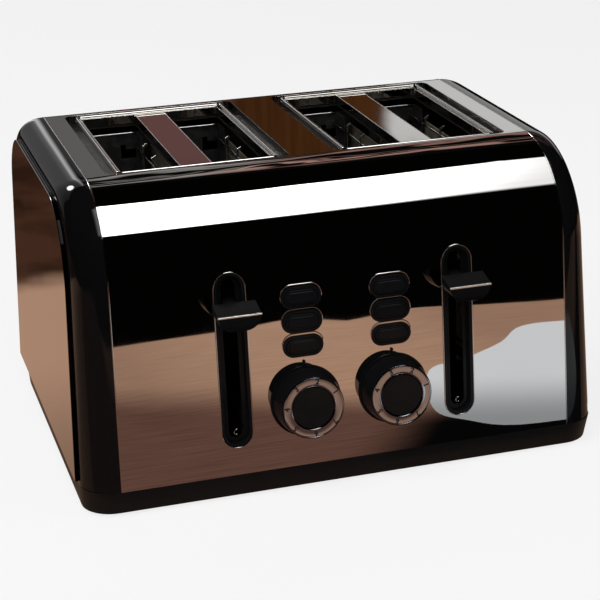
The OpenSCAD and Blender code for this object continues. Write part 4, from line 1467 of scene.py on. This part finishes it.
    def left_wall(self, left_x):
        """Wall to the left, with a bright upright strip"""
        f = material("left_wall")
        stops = (
            (0.0, grey(0.1)),
            (0.62, grey(0.25)),
            (0.82, grey(0.25)),
            (0.90, grey(0.45)),
            (0.94, grey(1.9)),
            (0.965, grey(1.2)),
            (0.985, grey(0.4)),
            (1.0, (0.125, 0.12, 0.12)),
        )
        return f.shining(f.ramp(1 - f.axes("X")[0] / left_x, stops))

    def camera(self, context):
        """Camera that looks at the toaster from a little above and to its left"""
        stage = context.scene.toaster_stage
        data = bpy.data.cameras.new("camera")
        data.sensor_width = 36.0
        data.lens = stage.lens
        item = linked("camera", data)
        back = Vector((
            math.sin(stage.azimuth) * math.cos(stage.elevation),
            -math.cos(stage.azimuth) * math.cos(stage.elevation),
            math.sin(stage.elevation),
        ))
        right = (-back).cross(Vector((0, 0, 1))).normalized()
        up = right.cross(-back)
        across = right * math.cos(stage.roll) + up * math.sin(stage.roll)
        upwards = up * math.cos(stage.roll) - right * math.sin(stage.roll)
        target = Vector((-2.64, -21.62, 85.52)) * MM
        turned = Matrix((across, upwards, back)).transposed().to_4x4()
        item.matrix_world = Matrix.Translation(target + back * stage.distance) @ turned
        context.scene.camera = item


# ---------------------------------------------------------------- panel and run

PIECES = (
    TOASTER_OT_stage,
    TOASTER_OT_wrap,
    TOASTER_OT_end_caps,
    TOASTER_OT_side_panels,
    TOASTER_OT_base,
    TOASTER_OT_trays,
    TOASTER_OT_slots,
    TOASTER_OT_guards,
    TOASTER_OT_inside,
    TOASTER_OT_levers,
    TOASTER_OT_buttons,
    TOASTER_OT_dials,
)


class TOASTER_PT_parts(bpy.types.Panel):
    """Lists the toaster's settings and pieces"""

    bl_label = "Toaster"
    bl_space_type = "VIEW_3D"
    bl_region_type = "UI"
    bl_category = "Toaster"

    def draw(self, context):
        layout = self.layout
        for title, group in (
            ("Sizes", context.scene.toaster_sizes),
            ("Colours", context.scene.toaster_colours),
            ("Stage", context.scene.toaster_stage),
        ):
            box = layout.box()
            box.label(text=title)
            for name in group.bl_rna.properties.keys():
                if name not in ("rna_type", "name"):
                    box.prop(group, name)
        for piece in PIECES:
            layout.operator(piece.bl_idname)


CLASSES = (ToasterSizes, ToasterColours, ToasterStage, *PIECES, TOASTER_PT_parts)


def register():
    for item in CLASSES:
        bpy.utils.register_class(item)
    bpy.types.Scene.toaster_sizes = bpy.props.PointerProperty(type=ToasterSizes)
    bpy.types.Scene.toaster_colours = bpy.props.PointerProperty(type=ToasterColours)
    bpy.types.Scene.toaster_stage = bpy.props.PointerProperty(type=ToasterStage)


def unregister():
    del bpy.types.Scene.toaster_stage
    del bpy.types.Scene.toaster_colours
    del bpy.types.Scene.toaster_sizes
    for item in reversed(CLASSES):
        bpy.utils.unregister_class(item)


def main():
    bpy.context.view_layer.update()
    register()
    for piece in PIECES:
        group, name = piece.bl_idname.split(".")
        getattr(getattr(bpy.ops, group), name)()


if __name__ == "__main__":
    main()
